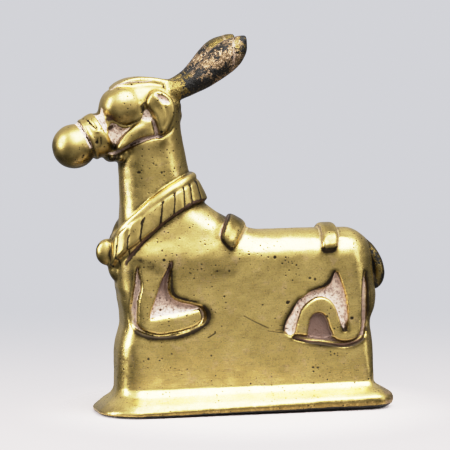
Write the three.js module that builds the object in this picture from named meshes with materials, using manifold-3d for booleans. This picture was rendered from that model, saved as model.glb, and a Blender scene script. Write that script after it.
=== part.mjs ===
// A small cast brass bull lying on a slab block with a flared plinth, all one casting.
// Millimetres. The bull faces -X, its left flank faces -Y and +Z is up.
// The origin is the middle of the face that the plinth stands on.
import * as THREE from 'three';
import { mergeVertices } from 'three/addons/utils/BufferGeometryUtils.js';
import Module from 'manifold-3d';

const wasm = await Module();
wasm.setup();

// Plinth
const plinthLength = 59.4;
const plinthWidth = 20.2;
const plinthCorner = 5.5; // radius of its corners, seen from above
const plinthHeight = 5.3;
const frontRim = [0.3, 1.2]; // lower and upper edge of the plinth's rim at the chest's end
const rearRim = [0.9, 2.7]; // and at the rump's end, where the casting is thicker and lifts off the ground
const footInset = 1.8; // the face that stands on the ground lies this far inside the rim

// Block and body, one slab
const bodyLength = 50.6;
const bodyWidth = 12.5;
const bodyCorner = 2.2;
const chestCorner = 3; // of the body above the waist
const waistHeight = 17.3; // the notch between block and body, front and rear
const waistPinch = 1.4;
const backHeight = 35.6;
const backRound = 5.4; // how far down the back is rounded over, at the sides and the rump

// Neck, head and horns
const headHeight = 59; // height of the head's own centre
const headLength = 26.4;
const headTilt = 24.7; // degrees, nose down
const hornLength = 18.5;

// Garland, straps and tail
const garlandDepth = 6.5; // top to bottom, at the sides of the neck
const garlandRise = 1.5; // how far it stands off the neck
const leafCount = 20;
const bellRadius = 2.6;
const strapWidth = 3.3;
const strapRise = 1.1;
const strapRoot = 1; // how deep the straps are rooted in the back
const tailThickness = 2.5;

// Carving
const carveDepth = 1.3; // of the trenches that free the folded legs
const brass = new THREE.MeshStandardMaterial({ color: 0xb8963e, roughness: 0.3, metalness: 1 });

const halfBody = bodyWidth / 2;
const chestX = -bodyLength / 2;
const headX = chestX + 0.075 * bodyLength;

// Shares of the body in hundredths: along it from the chest to the rump, and up from the plinth's top to the back.
const along = (share) => chestX + (share * bodyLength) / 100;
const upBody = (share) => plinthHeight + (share * (backHeight - plinthHeight)) / 100;
// Shares of the neck in hundredths, from the back up to the head's centre.
const upNeck = (share) => backHeight + (share * (headHeight - backHeight)) / 100;
const between = (a, b, share) => a + (b - a) * share;

// A closed solid of any geometry: shared corners are merged, and the faces are turned outwards.
function solidOf(geometry) {
  const bare = geometry.index ? geometry.toNonIndexed() : geometry.clone();
  bare.deleteAttribute('normal');
  bare.deleteAttribute('uv');
  const merged = mergeVertices(bare, 1e-4);
  const place = merged.attributes.position;
  const corner = (i) => new THREE.Vector3().fromBufferAttribute(place, i);
  const triangles = [];
  let volume = 0;
  for (let i = 0; i < merged.index.count; i += 3) {
    const [a, b, c] = [0, 1, 2].map((k) => merged.index.getX(i + k));
    if (a === b || b === c || c === a) continue;
    triangles.push([a, b, c]);
    volume += corner(a).dot(corner(b).cross(corner(c)));
  }
  if (volume < 0) triangles.forEach((triangle) => triangle.reverse());
  return new wasm.Manifold(new wasm.Mesh({
    numProp: 3,
    vertProperties: new Float32Array(place.array),
    triVerts: new Uint32Array(triangles.flat()),
  }));
}

// Skin over a row of rings with equal numbers of points. A row that doesn't close has a cap at each end.
function loft(rings, closed = false) {
  const count = rings[0].length;
  const points = rings.flat();
  const faces = [];
  const spans = closed ? rings.length : rings.length - 1;
  for (let r = 0; r < spans; r++) {
    const next = (r + 1) % rings.length;
    for (let i = 0; i < count; i++) {
      const j = (i + 1) % count;
      const [a, b, c, d] = [r * count + i, r * count + j, next * count + j, next * count + i];
      faces.push(a, b, c, a, c, d);
    }
  }
  if (!closed) {
    const ends = [[0, true], [rings.length - 1, false]];
    for (const [r, first] of ends) {
      const middle = new THREE.Vector3();
      rings[r].forEach((point) => middle.addScaledVector(point, 1 / count));
      const hub = points.push(middle) - 1;
      for (let i = 0; i < count; i++) {
        const [a, b] = [r * count + i, r * count + ((i + 1) % count)];
        faces.push(...(first ? [hub, b, a] : [hub, a, b]));
      }
    }
  }
  const geometry = new THREE.BufferGeometry().setFromPoints(points);
  geometry.setIndex(faces);
  return geometry;
}

// The same geometry on the other flank.
const mirrored = (geometry) => geometry.clone().scale(1, -1, 1);
const bothSides = (geometry) => [solidOf(geometry), solidOf(mirrored(geometry))];
const joined = (solids) => solids.reduce((whole, solid) => whole.add(solid));

// Level ring with rounded corners, from front to rear along X.
function slabRing(z, front, rear, side, corner) {
  const radius = Math.min(corner, side * 0.98, (rear - front) * 0.49);
  const steps = 4;
  const centres = [
    [rear - radius, side - radius], [front + radius, side - radius],
    [front + radius, radius - side], [rear - radius, radius - side],
  ];
  return centres.flatMap(([x, y], quarter) => Array.from({ length: steps + 1 }, (_, i) => {
    const angle = ((quarter + i / steps) * Math.PI) / 2;
    return new THREE.Vector3(x + radius * Math.cos(angle), y + radius * Math.sin(angle), z);
  }));
}

// Plinth, block and body: rings from the ground to the back.
function slab() {
  const half = plinthLength / 2;
  const side = plinthWidth / 2;
  const inner = plinthCorner - footInset;
  // Ring whose height runs from one value at the chest's end to another at the rump's.
  const slopedRing = ([front, rear], end, ...rest) => slabRing(0, -end, end, ...rest)
    .map(({ x, y }) => new THREE.Vector3(x, y, between(front, rear, (x / end + 1) / 2)));
  const rims = [0, 1].map((edge) => [frontRim[edge], rearRim[edge]]);
  const rings = [
    slabRing(0, footInset - half, half - footInset, side - footInset, inner),
    ...rims.map((heights) => slopedRing(heights, half, side, plinthCorner)),
  ];
  // The flare: shares of the way in from the rim to the block, and of the way up.
  const flare = [[0.06, 0.02], [0.3, 0.27], [0.62, 0.49], [0.84, 0.65], [0.95, 0.83], [1, 1]];
  for (const [inward, rise] of flare) {
    rings.push(slopedRing(
      rims[1].map((height) => between(height, plinthHeight, rise)),
      between(half, bodyLength / 2, inward),
      between(side, halfBody, inward),
      between(plinthCorner, bodyCorner, inward),
    ));
  }
  // Share of the waist's height, and how much of the pinch is taken in there, front and rear.
  const block = [[0.6, 0.05, 0], [0.77, 0.3, 0.1], [0.9, 0.7, 0.3], [1, 1, 0.3]];
  for (const [share, front, rear] of block) {
    rings.push(slabRing(
      between(plinthHeight, waistHeight, share),
      chestX + front * waistPinch,
      -chestX - rear * waistPinch,
      halfBody,
      bodyCorner,
    ));
  }
  const shoulder = backHeight - backRound;
  // Share of the way from the waist to the back's rounding, and the chest and rump in hundredths of the length.
  const chest = [[0.2, 2.4, 100.8], [0.4, 1, 101.7], [0.65, 0.6, 101.8], [1, 0, 101.8]];
  for (const [share, front, rear] of chest) {
    rings.push(slabRing(
      between(waistHeight, shoulder, share),
      along(front),
      along(rear),
      halfBody,
      between(bodyCorner, chestCorner, share),
    ));
  }
  const roundSteps = 6;
  for (let i = 1; i <= roundSteps; i++) {
    const angle = (i / roundSteps) * (Math.PI / 2) * 0.97;
    const inward = 1 - Math.cos(angle);
    rings.push(slabRing(
      shoulder + (backRound * Math.sin(angle)) / Math.sin((Math.PI / 2) * 0.97),
      chestX + 0.4 * backRound * inward,
      along(101.8) - backRound * inward,
      halfBody * (1 - inward),
      between(chestCorner, halfBody, inward),
    ));
  }
  return solidOf(loft(rings));
}

// Neck and shoulder: [height share, front share, rear share, side share, squareness] from the chest up.
// Heights are shares of the neck, fronts and rears shares of the body's length.
const neckLevels = [
  [-45, 0.6, 40, 99, 4.5], [-24, -0.2, 54, 99, 3.6], [2, 0.8, 51, 99, 2.7], [12, 1.2, 42, 98, 2.4],
  [20, 1.4, 35, 96, 2.2], [34, 1.2, 30, 94, 2.1], [49, 0.8, 27.7, 93, 2], [68, 0.6, 25.7, 91, 2],
  [85, 0.8, 24, 90, 2], [107, 2, 24, 86, 2],
];

function neckLevel(z) {
  const share = (100 * (z - backHeight)) / (headHeight - backHeight);
  const last = neckLevels.length - 1;
  let i = 1;
  while (i < last && neckLevels[i][0] < share) i++;
  const [low, high] = [neckLevels[i - 1], neckLevels[i]];
  const mix = THREE.MathUtils.clamp((share - low[0]) / (high[0] - low[0]), 0, 1);
  const [, front, rear, side, square] = low.map((value, k) => between(value, high[k], mix));
  return { front: along(front), rear: along(rear), side: (side * halfBody) / 100, square };
}

function neck() {
  const sides = 22;
  const rings = neckLevels.map(([share]) => {
    const z = upNeck(share);
    const { front, rear, side, square } = neckLevel(z);
    return Array.from({ length: sides }, (_, i) => {
      const angle = (i / sides) * 2 * Math.PI;
      const [c, s] = [Math.cos(angle), Math.sin(angle)];
      const bend = (value) => Math.sign(value) * Math.abs(value) ** (2 / square);
      const x = (front + rear) / 2 + ((rear - front) / 2) * bend(c);
      return new THREE.Vector3(x, side * bend(s), z);
    });
  });
  return solidOf(loft(rings));
}

// Distance from the garland's upright axis to the neck's surface, in a plan direction.
const garlandAxis = along(14.5);
function neckReach(direction, z) {
  const { front, rear, side, square } = neckLevel(z);
  const inside = (reach) => {
    const x = garlandAxis + reach * direction.x - (front + rear) / 2;
    const y = reach * direction.y;
    return Math.abs((2 * x) / (rear - front)) ** square + Math.abs(y / side) ** square < 1;
  };
  let [near, far] = [0, bodyLength];
  for (let i = 0; i < 30; i++) {
    const middle = (near + far) / 2;
    if (inside(middle)) near = middle;
    else far = middle;
  }
  return near;
}

// The garland slopes from the nape down to the chest: its top edge and depth at a place round it,
// where forward is -1 at the chest and 1 at the nape.
const garlandTop = (forward) => (
  upNeck(34.8 + 22.6 * forward - 7.9 * forward ** 2 - (forward < 0 ? 5 * forward ** 8 : 0))
);
const garlandHeight = (forward) => garlandDepth * (1 - 0.12 * forward);

// Garland: an upper ring, a band of leaves and a thin lower border, as one closed loop of sections.
function garland() {
  // [share of the depth from the top, share of the rise, whether the leaves swell it]
  const section = [
    [0, 0, false], [0.05, 0.9, false], [0.15, 1.1, false], [0.26, 0.85, false], [0.31, 0.25, false],
    [0.37, 0.85, true], [0.6, 1.1, true], [0.84, 0.75, true], [0.9, 0.25, false], [0.96, 0.5, false],
    [1, 0, false],
  ];
  const stations = leafCount * 3;
  const bury = -garlandRise;
  const rings = Array.from({ length: stations }, (_, i) => {
    const turn = (i / stations) * 2 * Math.PI;
    const forward = Math.cos(turn);
    const direction = new THREE.Vector2(8.6 * forward, 7 * Math.sin(turn)).normalize();
    const leaf = 0.25 + 0.75 * Math.sqrt(Math.abs(Math.sin((leafCount * turn) / 2)));
    const hang = garlandRise * (forward < 0 ? 1 + 0.6 * forward ** 8 : 1);
    const nape = Math.max(forward, 0) ** 3;
    const at = (share, stand) => {
      const z = garlandTop(forward) - share * garlandHeight(forward);
      const reach = neckReach(direction, z) + stand;
      return new THREE.Vector3(garlandAxis + reach * direction.x, reach * direction.y, z);
    };
    const outer = section.map(([share, rise, swells]) => (
      at(share, hang * rise * (swells ? leaf * (1 + 0.5 * nape) : 1 - 0.15 * nape))
    ));
    return [...outer, at(1, bury), at(0, bury)];
  });
  return solidOf(loft(rings, true));
}

function bell() {
  const z = garlandTop(-1) - 0.51 * garlandHeight(-1);
  const reach = neckReach(new THREE.Vector2(-1, 0), z);
  const round = new THREE.SphereGeometry(bellRadius, 14, 10);
  return solidOf(round.translate(garlandAxis - reach - garlandRise, 0, z));
}

// Head parts are drawn in hundredths of the head's length about its centre, nose towards -X, then tilted.
const headPart = headLength / 100;
const headPlace = new THREE.Matrix4()
  .makeTranslation(headX, 0, headHeight)
  .multiply(new THREE.Matrix4().makeRotationY(THREE.MathUtils.degToRad(-headTilt)));
const onHead = (geometry) => geometry.scale(headPart, headPart, headPart).applyMatrix4(headPlace);

function ball([x, y, z], [sizeX, sizeY, sizeZ], turn = 0, sides = 12) {
  return new THREE.SphereGeometry(1, sides, Math.round(sides * 0.7))
    .scale(sizeX, sizeY, sizeZ)
    .rotateY(THREE.MathUtils.degToRad(turn))
    .translate(x, y, z);
}

function skull() {
  // [along the head, top, bottom, half width]
  const levels = [
    [-30, 10, -14, 12], [-25, 12.5, -17, 14], [-16, 18, -20, 15.5], [-7, 23, -21, 17], [6, 22.5, -21, 18],
    [18, 17, -20, 18], [27, 11, -17, 15], [31, 4, -10, 9],
  ];
  const sides = 16;
  return loft(levels.map(([x, top, bottom, side]) => Array.from({ length: sides }, (_, i) => {
    const angle = (i / sides) * 2 * Math.PI;
    const z = (top + bottom) / 2 + ((top - bottom) / 2) * Math.cos(angle);
    return new THREE.Vector3(x, side * Math.sin(angle), z);
  })));
}

// Muzzle: a ball for the nose, and two bands with a groove between, turned about the head's length.
function muzzle() {
  const noseX = -52.5;
  const noseRadius = 16.5;
  const profile = [[0, noseX - noseRadius]];
  const noseSteps = 6;
  for (let i = 1; i <= noseSteps; i++) {
    const angle = (i / noseSteps) * Math.PI * 0.62;
    profile.push([noseRadius * Math.sin(angle), noseX - noseRadius * Math.cos(angle)]);
  }
  profile.push(
    [13.4, -42], [15.4, -41], [15.9, -36], [14.2, -35.4], [14.2, -34.4], [16.2, -33.8],
    [16.4, -28], [13.2, -27.4], [12.8, -22], [0, -20],
  );
  const outline = profile.map(([radius, x]) => new THREE.Vector2(radius, x));
  return new THREE.LatheGeometry(outline, 18).rotateZ(-Math.PI / 2).translate(0, 0, -3);
}

// A plate with rounded edges, cut to an outline and standing off the side of the head.
function plate(outline, inner, outer, edge, corners) {
  const shape = new THREE.Shape();
  shape.setFromPoints(new THREE.CatmullRomCurve3(
    outline.map(([x, z]) => new THREE.Vector3(x, z, 0)),
    true,
  ).getPoints(corners).slice(0, -1));
  return new THREE.ExtrudeGeometry(shape, {
    depth: outer - inner - 2 * edge,
    steps: 1,
    bevelThickness: edge,
    bevelSize: edge,
    bevelOffset: -edge,
    bevelSegments: 2,
  }).rotateX(Math.PI / 2).translate(0, -inner - edge, 0);
}

function headSolids() {
  const eye = ball([-5.6, -4, 8.4], [13.5, 17, 13.5], 18);
  const jawOutline = [[-25.5, -13], [-15.6, -5.5], [-5.7, -4.5], [5.5, -7], [4, -17.5], [-9, -18], [-25.5, -19.5]];
  const jaw = plate(jawOutline, 6, 20.5, 2.5, 16);
  const earOutline = [
    [6, 9], [15, 12.5], [23, 8], [25, -3], [22, -12], [12, -20], [5, -21], [6, -7], [4, 2],
  ];
  const ear = plate(earOutline, 12, 25.5, 3.2, 20);
  const earHollow = ball([16.5, -25.5, 4], [6.5, 3, 2.2], 55, 10);
  const strip = loft([[-7, 20], [-2, 24], [5, 25.5], [13, 23.5], [20, 19.5], [27, 14]].map(([x, z]) => [
    [-9.5, -4], [9.5, -4], [9.5, -1.2], [5, 0], [-5, 0], [-9.5, -1.2],
  ].map(([y, drop]) => new THREE.Vector3(x, y, z + drop))));
  const chin = ball([-30, 0, -19.5], [6.5, 10, 6.5], 0, 10);
  const throat = ball([-22.5, 0, -23.5], [9, 11, 7.5], 25, 10);
  const poll = ball([24.5, 0, -14], [6.5, 8, 7], 0, 10);
  const whole = joined([
    solidOf(onHead(skull())),
    solidOf(onHead(muzzle())),
    ...bothSides(onHead(eye)),
    ...bothSides(onHead(jaw)),
    ...bothSides(onHead(ear)),
    solidOf(onHead(strip)),
    solidOf(onHead(chin)),
    solidOf(onHead(throat)),
    solidOf(onHead(poll)),
  ]);
  return bothSides(onHead(earHollow)).reduce((head, hollow) => head.subtract(hollow), whole);
}

// A round bar of changing thickness along a smooth path: points are [x, y, z, radius].
function bar(points, sides, steps, flat = 1) {
  const path = new THREE.CatmullRomCurve3(points.map(([x, y, z]) => new THREE.Vector3(x, y, z)));
  const girth = new THREE.CatmullRomCurve3(points.map((point, i) => new THREE.Vector3(i, point[3], 0)));
  return loft(Array.from({ length: steps + 1 }, (_, i) => {
    const centre = path.getPoint(i / steps);
    const tangent = path.getTangent(i / steps);
    const radius = girth.getPoint(i / steps).y;
    const across = new THREE.Vector3(0, 1, 0).cross(tangent).normalize();
    const sideways = tangent.clone().cross(across);
    return Array.from({ length: sides }, (_, k) => {
      const angle = (k / sides) * 2 * Math.PI;
      return centre.clone()
        .addScaledVector(across, radius * Math.cos(angle))
        .addScaledVector(sideways, radius * flat * Math.sin(angle));
    });
  }));
}

// Horns sweep back side by side, thicken towards their ends and turn up to a point.
function horn() {
  // Hundredths of the horn's length: [along, out to the side, up, radius]
  const path = [
    [0, 8.5, 0, 11.5], [14, 10, -2.6, 11], [30, 13, -2.2, 11.5], [42.3, 15.5, -0.8, 13], [63, 15.8, 4.6, 16],
    [76.8, 18, 8.8, 16], [88.3, 21, 13.7, 12.5], [95, 22.6, 17.4, 6.5], [100, 23, 19.8, 1],
  ];
  const part = hornLength / 100;
  const rootX = 25 * headPart;
  const rootZ = 4 * headPart;
  const points = path.map(([x, y, z, radius]) => [rootX + x * part, -y * part, rootZ + z * part, radius * part]);
  return bar(points, 10, 13, 0.88).applyMatrix4(headPlace);
}

// Height and outward direction of the back at a turn from its ridge, 0, down to the flank, 1.
function onBack(x, turn, ridge) {
  const angle = (turn * Math.PI) / 2;
  const shoulder = backHeight - backRound;
  const rise = ridge - shoulder;
  return {
    place: new THREE.Vector3(x, -halfBody * Math.sin(angle), shoulder + rise * Math.cos(angle)),
    out: new THREE.Vector3(0, -Math.sin(angle) / halfBody, Math.cos(angle) / rise).normalize(),
  };
}

// A strap over the back: xAt gives its place along the body at each turn, ridgeAt the ridge's height there.
function strap(reach, xAt, ridgeAt) {
  const steps = 12;
  const stations = Array.from({ length: steps + 1 }, (_, i) => {
    const turn = reach * ((2 * i) / steps - 1);
    const x = xAt(Math.abs(turn));
    return onBack(x, turn, ridgeAt(x));
  });
  const half = strapWidth / 2;
  const section = [
    [-half, -strapRoot], [-half, strapRise * 0.5], [-half * 0.6, strapRise * 0.95], [0, strapRise],
    [half * 0.6, strapRise * 0.95], [half, strapRise * 0.5], [half, -strapRoot],
  ];
  return solidOf(loft(stations.map(({ place, out }, i) => {
    const before = stations[Math.max(i - 1, 0)].place;
    const after = stations[Math.min(i + 1, steps)].place;
    const sideways = after.clone().sub(before).cross(out).normalize();
    return section.map(([offset, rise]) => place.clone()
      .addScaledVector(sideways, offset)
      .addScaledVector(out, rise));
  })));
}

// Height of the line from the nape down the shoulder, where the body is this far along.
function shoulderRidge(x) {
  let [low, high] = [backHeight, headHeight];
  for (let i = 0; i < 30; i++) {
    const middle = (low + high) / 2;
    if (neckLevel(middle).rear > x) low = middle;
    else high = middle;
  }
  return low;
}

const humpStrap = () => strap(0.75, (turn) => along(46.5 - 9 * turn ** 1.4), shoulderRidge);
const girthStrap = () => strap(0.72, (turn) => along(83.8 - 3 * turn), () => backHeight);

// Tail: lies down the middle of the rump, standing proud of it.
function tail() {
  // [out from the rump in thicknesses, share up the body, radius in thicknesses]
  const path = [
    [-0.9, 93, 0.3], [-0.05, 86, 0.42], [0.5, 78, 0.5], [0.72, 70, 0.52], [0.6, 64, 0.48], [0.3, 60, 0.3],
  ];
  const rump = along(101.8);
  const points = path.map(([out, share, radius]) => [
    rump + (out - 0.1) * tailThickness, 0, upBody(share), radius * tailThickness,
  ]);
  return solidOf(bar(points, 10, 10, 1.5));
}

// Trenches on each flank: [along the body, up it, half width] in hundredths of its length and height.
const trenches = {
  frontSlot: [
    [5, 87, 0.4], [5, 77, 1.2], [5, 64, 2], [4.5, 50, 2.2], [6, 42, 1.8], [10, 36, 1.3], [16, 34, 1.2],
    [24, 35, 1.2], [30, 39, 1.4], [32.5, 45, 1.4], [31, 50, 0.8],
  ],
  frontElbow: [[18.3, 83, 0.4], [17.3, 74, 1.4], [16, 64, 2.6], [14.6, 56, 3.2], [12.8, 48, 2.6]],
  forearm: [[11.5, 46.5, 1], [16, 50, 2.8], [20, 51, 2.6], [24, 52, 1.8], [29, 51, 0.8]],
  hock: [
    [66.5, 32, 2.2], [67, 42, 2.6], [69.5, 51, 2.4], [73, 56, 2.2], [78, 58, 1.7], [82, 56, 2], [86, 50, 2],
    [88, 42, 1.8], [88.5, 36, 1.4],
  ],
  thigh: [[84.8, 74, 0.4], [85, 66, 1.8], [86, 59, 2.8], [87, 52, 2.6], [88, 44, 1.8]],
  shin: [[66, 62, 0.3], [72, 60, 0.6], [78, 61, 1.2], [83, 62, 2]],
  window: [[78, 45, 2.8], [78, 38, 4.4], [78, 29, 4.8]],
  rearSlot: [
    [96.8, 75, 0.4], [97, 63, 0.9], [97.2, 50, 1.1], [96.6, 39, 1], [94.5, 31, 0.9], [90.5, 26, 0.9],
    [85, 26, 0.9], [79, 28, 0.9], [72, 29, 0.9], [68, 31, 0.6],
  ],
};

// The bar that a chisel stroke removes: a rounded section swept along the stroke.
function trench(stroke) {
  const path = new THREE.CatmullRomCurve3(stroke.map(([share, height, half]) => (
    new THREE.Vector3(along(share), (half * bodyLength) / 100, upBody(height))
  )));
  const steps = Math.round(stroke.length * 1.3);
  return loft(Array.from({ length: steps + 1 }, (_, i) => {
    const { x, y: half, z } = path.getPoint(i / steps);
    const tangent = path.getTangent(i / steps);
    const side = new THREE.Vector2(-tangent.z, tangent.x).normalize();
    const deep = carveDepth * Math.min(1, (100 * half) / bodyLength);
    return [[1, 1], [1, 0], [0.65, -deep * 0.8], [0, -deep], [-0.65, -deep * 0.8], [-1, 0], [-1, 1]]
      .map(([offset, out]) => new THREE.Vector3(
        x + side.x * half * offset,
        -halfBody - out,
        z + side.y * half * offset,
      ));
  }));
}

function bull() {
  const figure = joined([
    slab(),
    neck(),
    garland(),
    bell(),
    headSolids(),
    ...bothSides(horn()),
    humpStrap(),
    girthStrap(),
    tail(),
  ]);
  return Object.values(trenches)
    .flatMap((stroke) => bothSides(trench(stroke)))
    .reduce((solid, cut) => solid.subtract(cut), figure);
}

// The mesh that shows a solid.
function meshOf(solid, name, material) {
  const { vertProperties, triVerts } = solid.getMesh();
  const geometry = new THREE.BufferGeometry();
  geometry.setAttribute('position', new THREE.BufferAttribute(new Float32Array(vertProperties), 3));
  geometry.setIndex(new THREE.BufferAttribute(new Uint32Array(triVerts), 1));
  geometry.computeVertexNormals();
  const mesh = new THREE.Mesh(geometry, material);
  mesh.name = name;
  return mesh;
}

const figure = new THREE.Group();
figure.add(meshOf(bull(), 'nandi_bull', brass));

export default figure;
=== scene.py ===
import math

import bpy
import numpy as np
import openvdb
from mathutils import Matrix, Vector


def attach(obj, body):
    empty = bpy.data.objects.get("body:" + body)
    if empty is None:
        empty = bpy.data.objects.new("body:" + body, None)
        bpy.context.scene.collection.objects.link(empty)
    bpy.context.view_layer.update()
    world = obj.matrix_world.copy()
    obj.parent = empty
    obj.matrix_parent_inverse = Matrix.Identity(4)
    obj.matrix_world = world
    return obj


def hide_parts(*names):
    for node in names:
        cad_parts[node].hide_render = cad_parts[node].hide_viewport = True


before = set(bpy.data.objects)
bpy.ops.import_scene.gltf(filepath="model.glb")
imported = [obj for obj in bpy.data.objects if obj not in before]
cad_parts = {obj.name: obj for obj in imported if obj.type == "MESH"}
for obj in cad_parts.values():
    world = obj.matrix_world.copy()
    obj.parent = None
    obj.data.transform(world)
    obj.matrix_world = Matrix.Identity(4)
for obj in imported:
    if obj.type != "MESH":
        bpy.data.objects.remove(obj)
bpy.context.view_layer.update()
print("frame loaded")

# The casting is worked out in millimetres and turned into metres at the end.
# The bull faces -X, its left flank faces -Y, and it stands on Z = 0.
mm = 0.001


# Paths and tables

def smoothPath(points, count, closed=False):
    points = np.asarray(points, float)
    n = len(points)
    place = np.linspace(0, n if closed else n - 1, count, endpoint=not closed)
    first = np.minimum(place.astype(int), n - 1 if closed else n - 2)
    t = (place - first)[:, None]
    near = [first + k for k in (-1, 0, 1, 2)]
    a, b, c, d = [points[k % n] if closed else points[np.clip(k, 0, n - 1)] for k in near]
    return 0.5 * (2 * b + (c - a) * t + (2 * a - 5 * b + 4 * c - d) * t**2 + (3 * b - a - 3 * c + d) * t**3)


def softTable(table, soft, count=600):  # the same table with many rows and rounded corners
    table = np.asarray(table, float)
    at = np.linspace(table[0, 0] - 4 * soft, table[-1, 0] + 4 * soft, count)
    step = at[1] - at[0]
    spread = np.arange(-round(3 * soft / step), round(3 * soft / step) + 1) * step
    weight = np.exp(-0.5 * (spread / soft) ** 2)
    weight /= weight.sum()
    half = len(weight) // 2
    columns = [at]
    for column in table.T[1:]:
        plain = np.pad(np.interp(at, table[:, 0], column), half, mode="edge")
        columns.append(np.convolve(plain, weight, mode="valid"))
    return columns


def readTable(columns, at):
    return [np.interp(at, columns[0], column) for column in columns[1:]]


def mix(a, b, share):
    return a + (b - a) * share


def smoothStep(value, low, high):
    t = np.clip((value - low) / (high - low), 0, 1)
    return t * t * (3 - 2 * t)


def plateau(value, start, low, high, end):  # 1 from low to high, fading to 0 at start and end
    return smoothStep(value, start, low) * smoothStep(-value, -end, -high)


# Closed skins

def loft(rings, closed=False):  # rings of equal numbers of points, with a cap at each end
    rings = np.asarray(rings, float)
    rows, sides = rings.shape[:2]
    points = rings.reshape(-1, 3)
    index = np.arange(rows * sides).reshape(rows, sides)
    low = index if closed else index[:-1]
    high = np.roll(index, -1, axis=0) if closed else index[1:]
    lowNext = np.roll(low, -1, axis=1)
    highNext = np.roll(high, -1, axis=1)
    faces = [np.stack([low, lowNext, highNext], -1).reshape(-1, 3),
             np.stack([low, highNext, high], -1).reshape(-1, 3)]
    if not closed:
        hubs = [rings[0].mean(0), rings[-1].mean(0)]
        for hub, row in zip((len(points), len(points) + 1), (index[0], index[-1])):
            faces.append(np.stack([np.full(sides, hub), row, np.roll(row, -1)], -1))
        points = np.concatenate([points, hubs])
    return points, np.concatenate(faces)


def mirrored(solid):
    return solid[0] * (1, -1, 1), solid[1]


def ball(centre, size, turn=0, square=2.0, sides=40):
    # An ellipsoid turned about Y; above 2, square flattens its crown towards both sides
    across = np.linspace(0, 2 * math.pi, sides, endpoint=False)
    rings = []
    for angle in np.linspace(0.01, math.pi - 0.01, sides // 2 + 1):
        radius = math.sin(angle) ** (2 / square)
        height = math.copysign(abs(math.cos(angle)) ** (2 / square), math.cos(angle))
        rings.append(np.stack([
            radius * np.cos(across) * size[0],
            np.full(sides, height * size[1]),
            radius * np.sin(across) * size[2],
        ], -1))
    points, faces = loft(rings)
    c, s = math.cos(math.radians(turn)), math.sin(math.radians(turn))
    x, y, z = points.T
    return np.stack([c * x + s * z, y, c * z - s * x], -1) + centre, faces


# The volume that everything is cast into: distances to the surface, negative inside

volume = {
    "low": np.array([-38.7, -10.7, -0.8]),
    "high": np.array([30.3, 10.7, 74.7]),
    "voxel": 0.2,
    "reach": 2.4,  # distances are kept this far from a surface
    "triangles": 192000,  # left in the finished mesh
}
voxel = volume["voxel"]
counts = np.ceil((volume["high"] - volume["low"]) / voxel).astype(int) + 1
gridX, gridY, gridZ = [low + voxel * np.arange(n) for low, n in zip(volume["low"], counts)]
casting = np.full(counts, volume["reach"], np.float32)


def distances(solid):
    spot = (solid[0] - volume["low"]) / voxel
    pad = volume["reach"] / voxel + 1
    start = np.maximum(np.floor(spot.min(0) - pad), 0).astype(int)
    end = np.minimum(np.ceil(spot.max(0) + pad) + 1, counts).astype(int)
    level = openvdb.FloatGrid.createLevelSetFromPolygons(
        np.ascontiguousarray(spot, dtype=np.float32),
        triangles=np.ascontiguousarray(solid[1], dtype=np.uint32),
        transform=openvdb.createLinearTransform(voxelSize=1.0),
        exBandWidth=pad,
        inBandWidth=pad,
    )
    field = np.empty(end - start, np.float32)
    level.copyToArray(field, ijk=tuple(int(v) for v in start))
    return tuple(slice(a, b) for a, b in zip(start, end)), field * voxel


def lower(a, b, blend):  # the nearer of two surfaces, with a fillet
    if blend <= 0:
        return np.minimum(a, b)
    shared = np.maximum(blend - np.abs(a - b), 0) / blend
    return np.minimum(a, b) - shared * shared * blend * 0.25


def add(solid, blend=0.0):
    window, field = distances(solid)
    casting[window] = lower(casting[window], field, blend)


# Plinth, block and body

slab = {
    "plinthLength": 59.4,
    "plinthWidth": 20.2,
    "plinthCorner": 5.5,
    "plinthFront": 8.0,  # radius of the front corners
    "plinthHeight": 5.3,
    "frontRim": (0.3, 1.2),  # lower and upper edge of the rim under the chest
    "rearRim": (0.9, 2.7),
    "footInset": 1.8,
    "bodyLength": 50.6,
    "bodyWidth": 12.5,
    "bodyCorner": 2.2,
    "blockFront": 5.0,  # radius of the block's front corners, which stand out a little
    "frontOut": 0.55,
    "chestCorner": 4.6,
    "rumpCorner": 6.1,
    "waistHeight": 17.3,
    "waistPinch": 1.4,
    "backHeight": 35.6,
    "backRound": 5.4,
    "rumpOut": 0.7,  # how far the block's rear end stands out behind the body's length
    "backEnd": 101.8,  # hundredths of the body's length
    "rimRound": 0.28,
}
halfBody = slab["bodyWidth"] / 2
chestX = -slab["bodyLength"] / 2
backHeight = slab["backHeight"]
shoulderHeight = backHeight - slab["backRound"]


def along(share):  # hundredths of the body's length from the chest
    return chestX + np.asarray(share) * slab["bodyLength"] / 100


def upBody(share):  # hundredths of the way from the plinth's top to the back
    return slab["plinthHeight"] + np.asarray(share) * (backHeight - slab["plinthHeight"]) / 100


def slabRing(z, front, rear, side, corner, rearCorner=None, steps=10):
    radius = min(corner, side * 0.98)
    rearRadius = min(corner if rearCorner is None else rearCorner, side * 0.98)
    turn = np.linspace(0, math.pi / 2, steps + 1)
    xs, ys = [], []
    for quarter, (cx, cy, r) in enumerate([
        (rear - rearRadius, side - rearRadius, rearRadius), (front + radius, side - radius, radius),
        (front + radius, radius - side, radius), (rear - rearRadius, rearRadius - side, rearRadius),
    ]):
        xs.append(cx + r * np.cos(turn + quarter * math.pi / 2))
        ys.append(cy + r * np.sin(turn + quarter * math.pi / 2))
    x, y = np.concatenate(xs), np.concatenate(ys)
    height = z(x) if callable(z) else np.full(len(x), z)
    return np.stack([x, y, height], -1)


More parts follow.
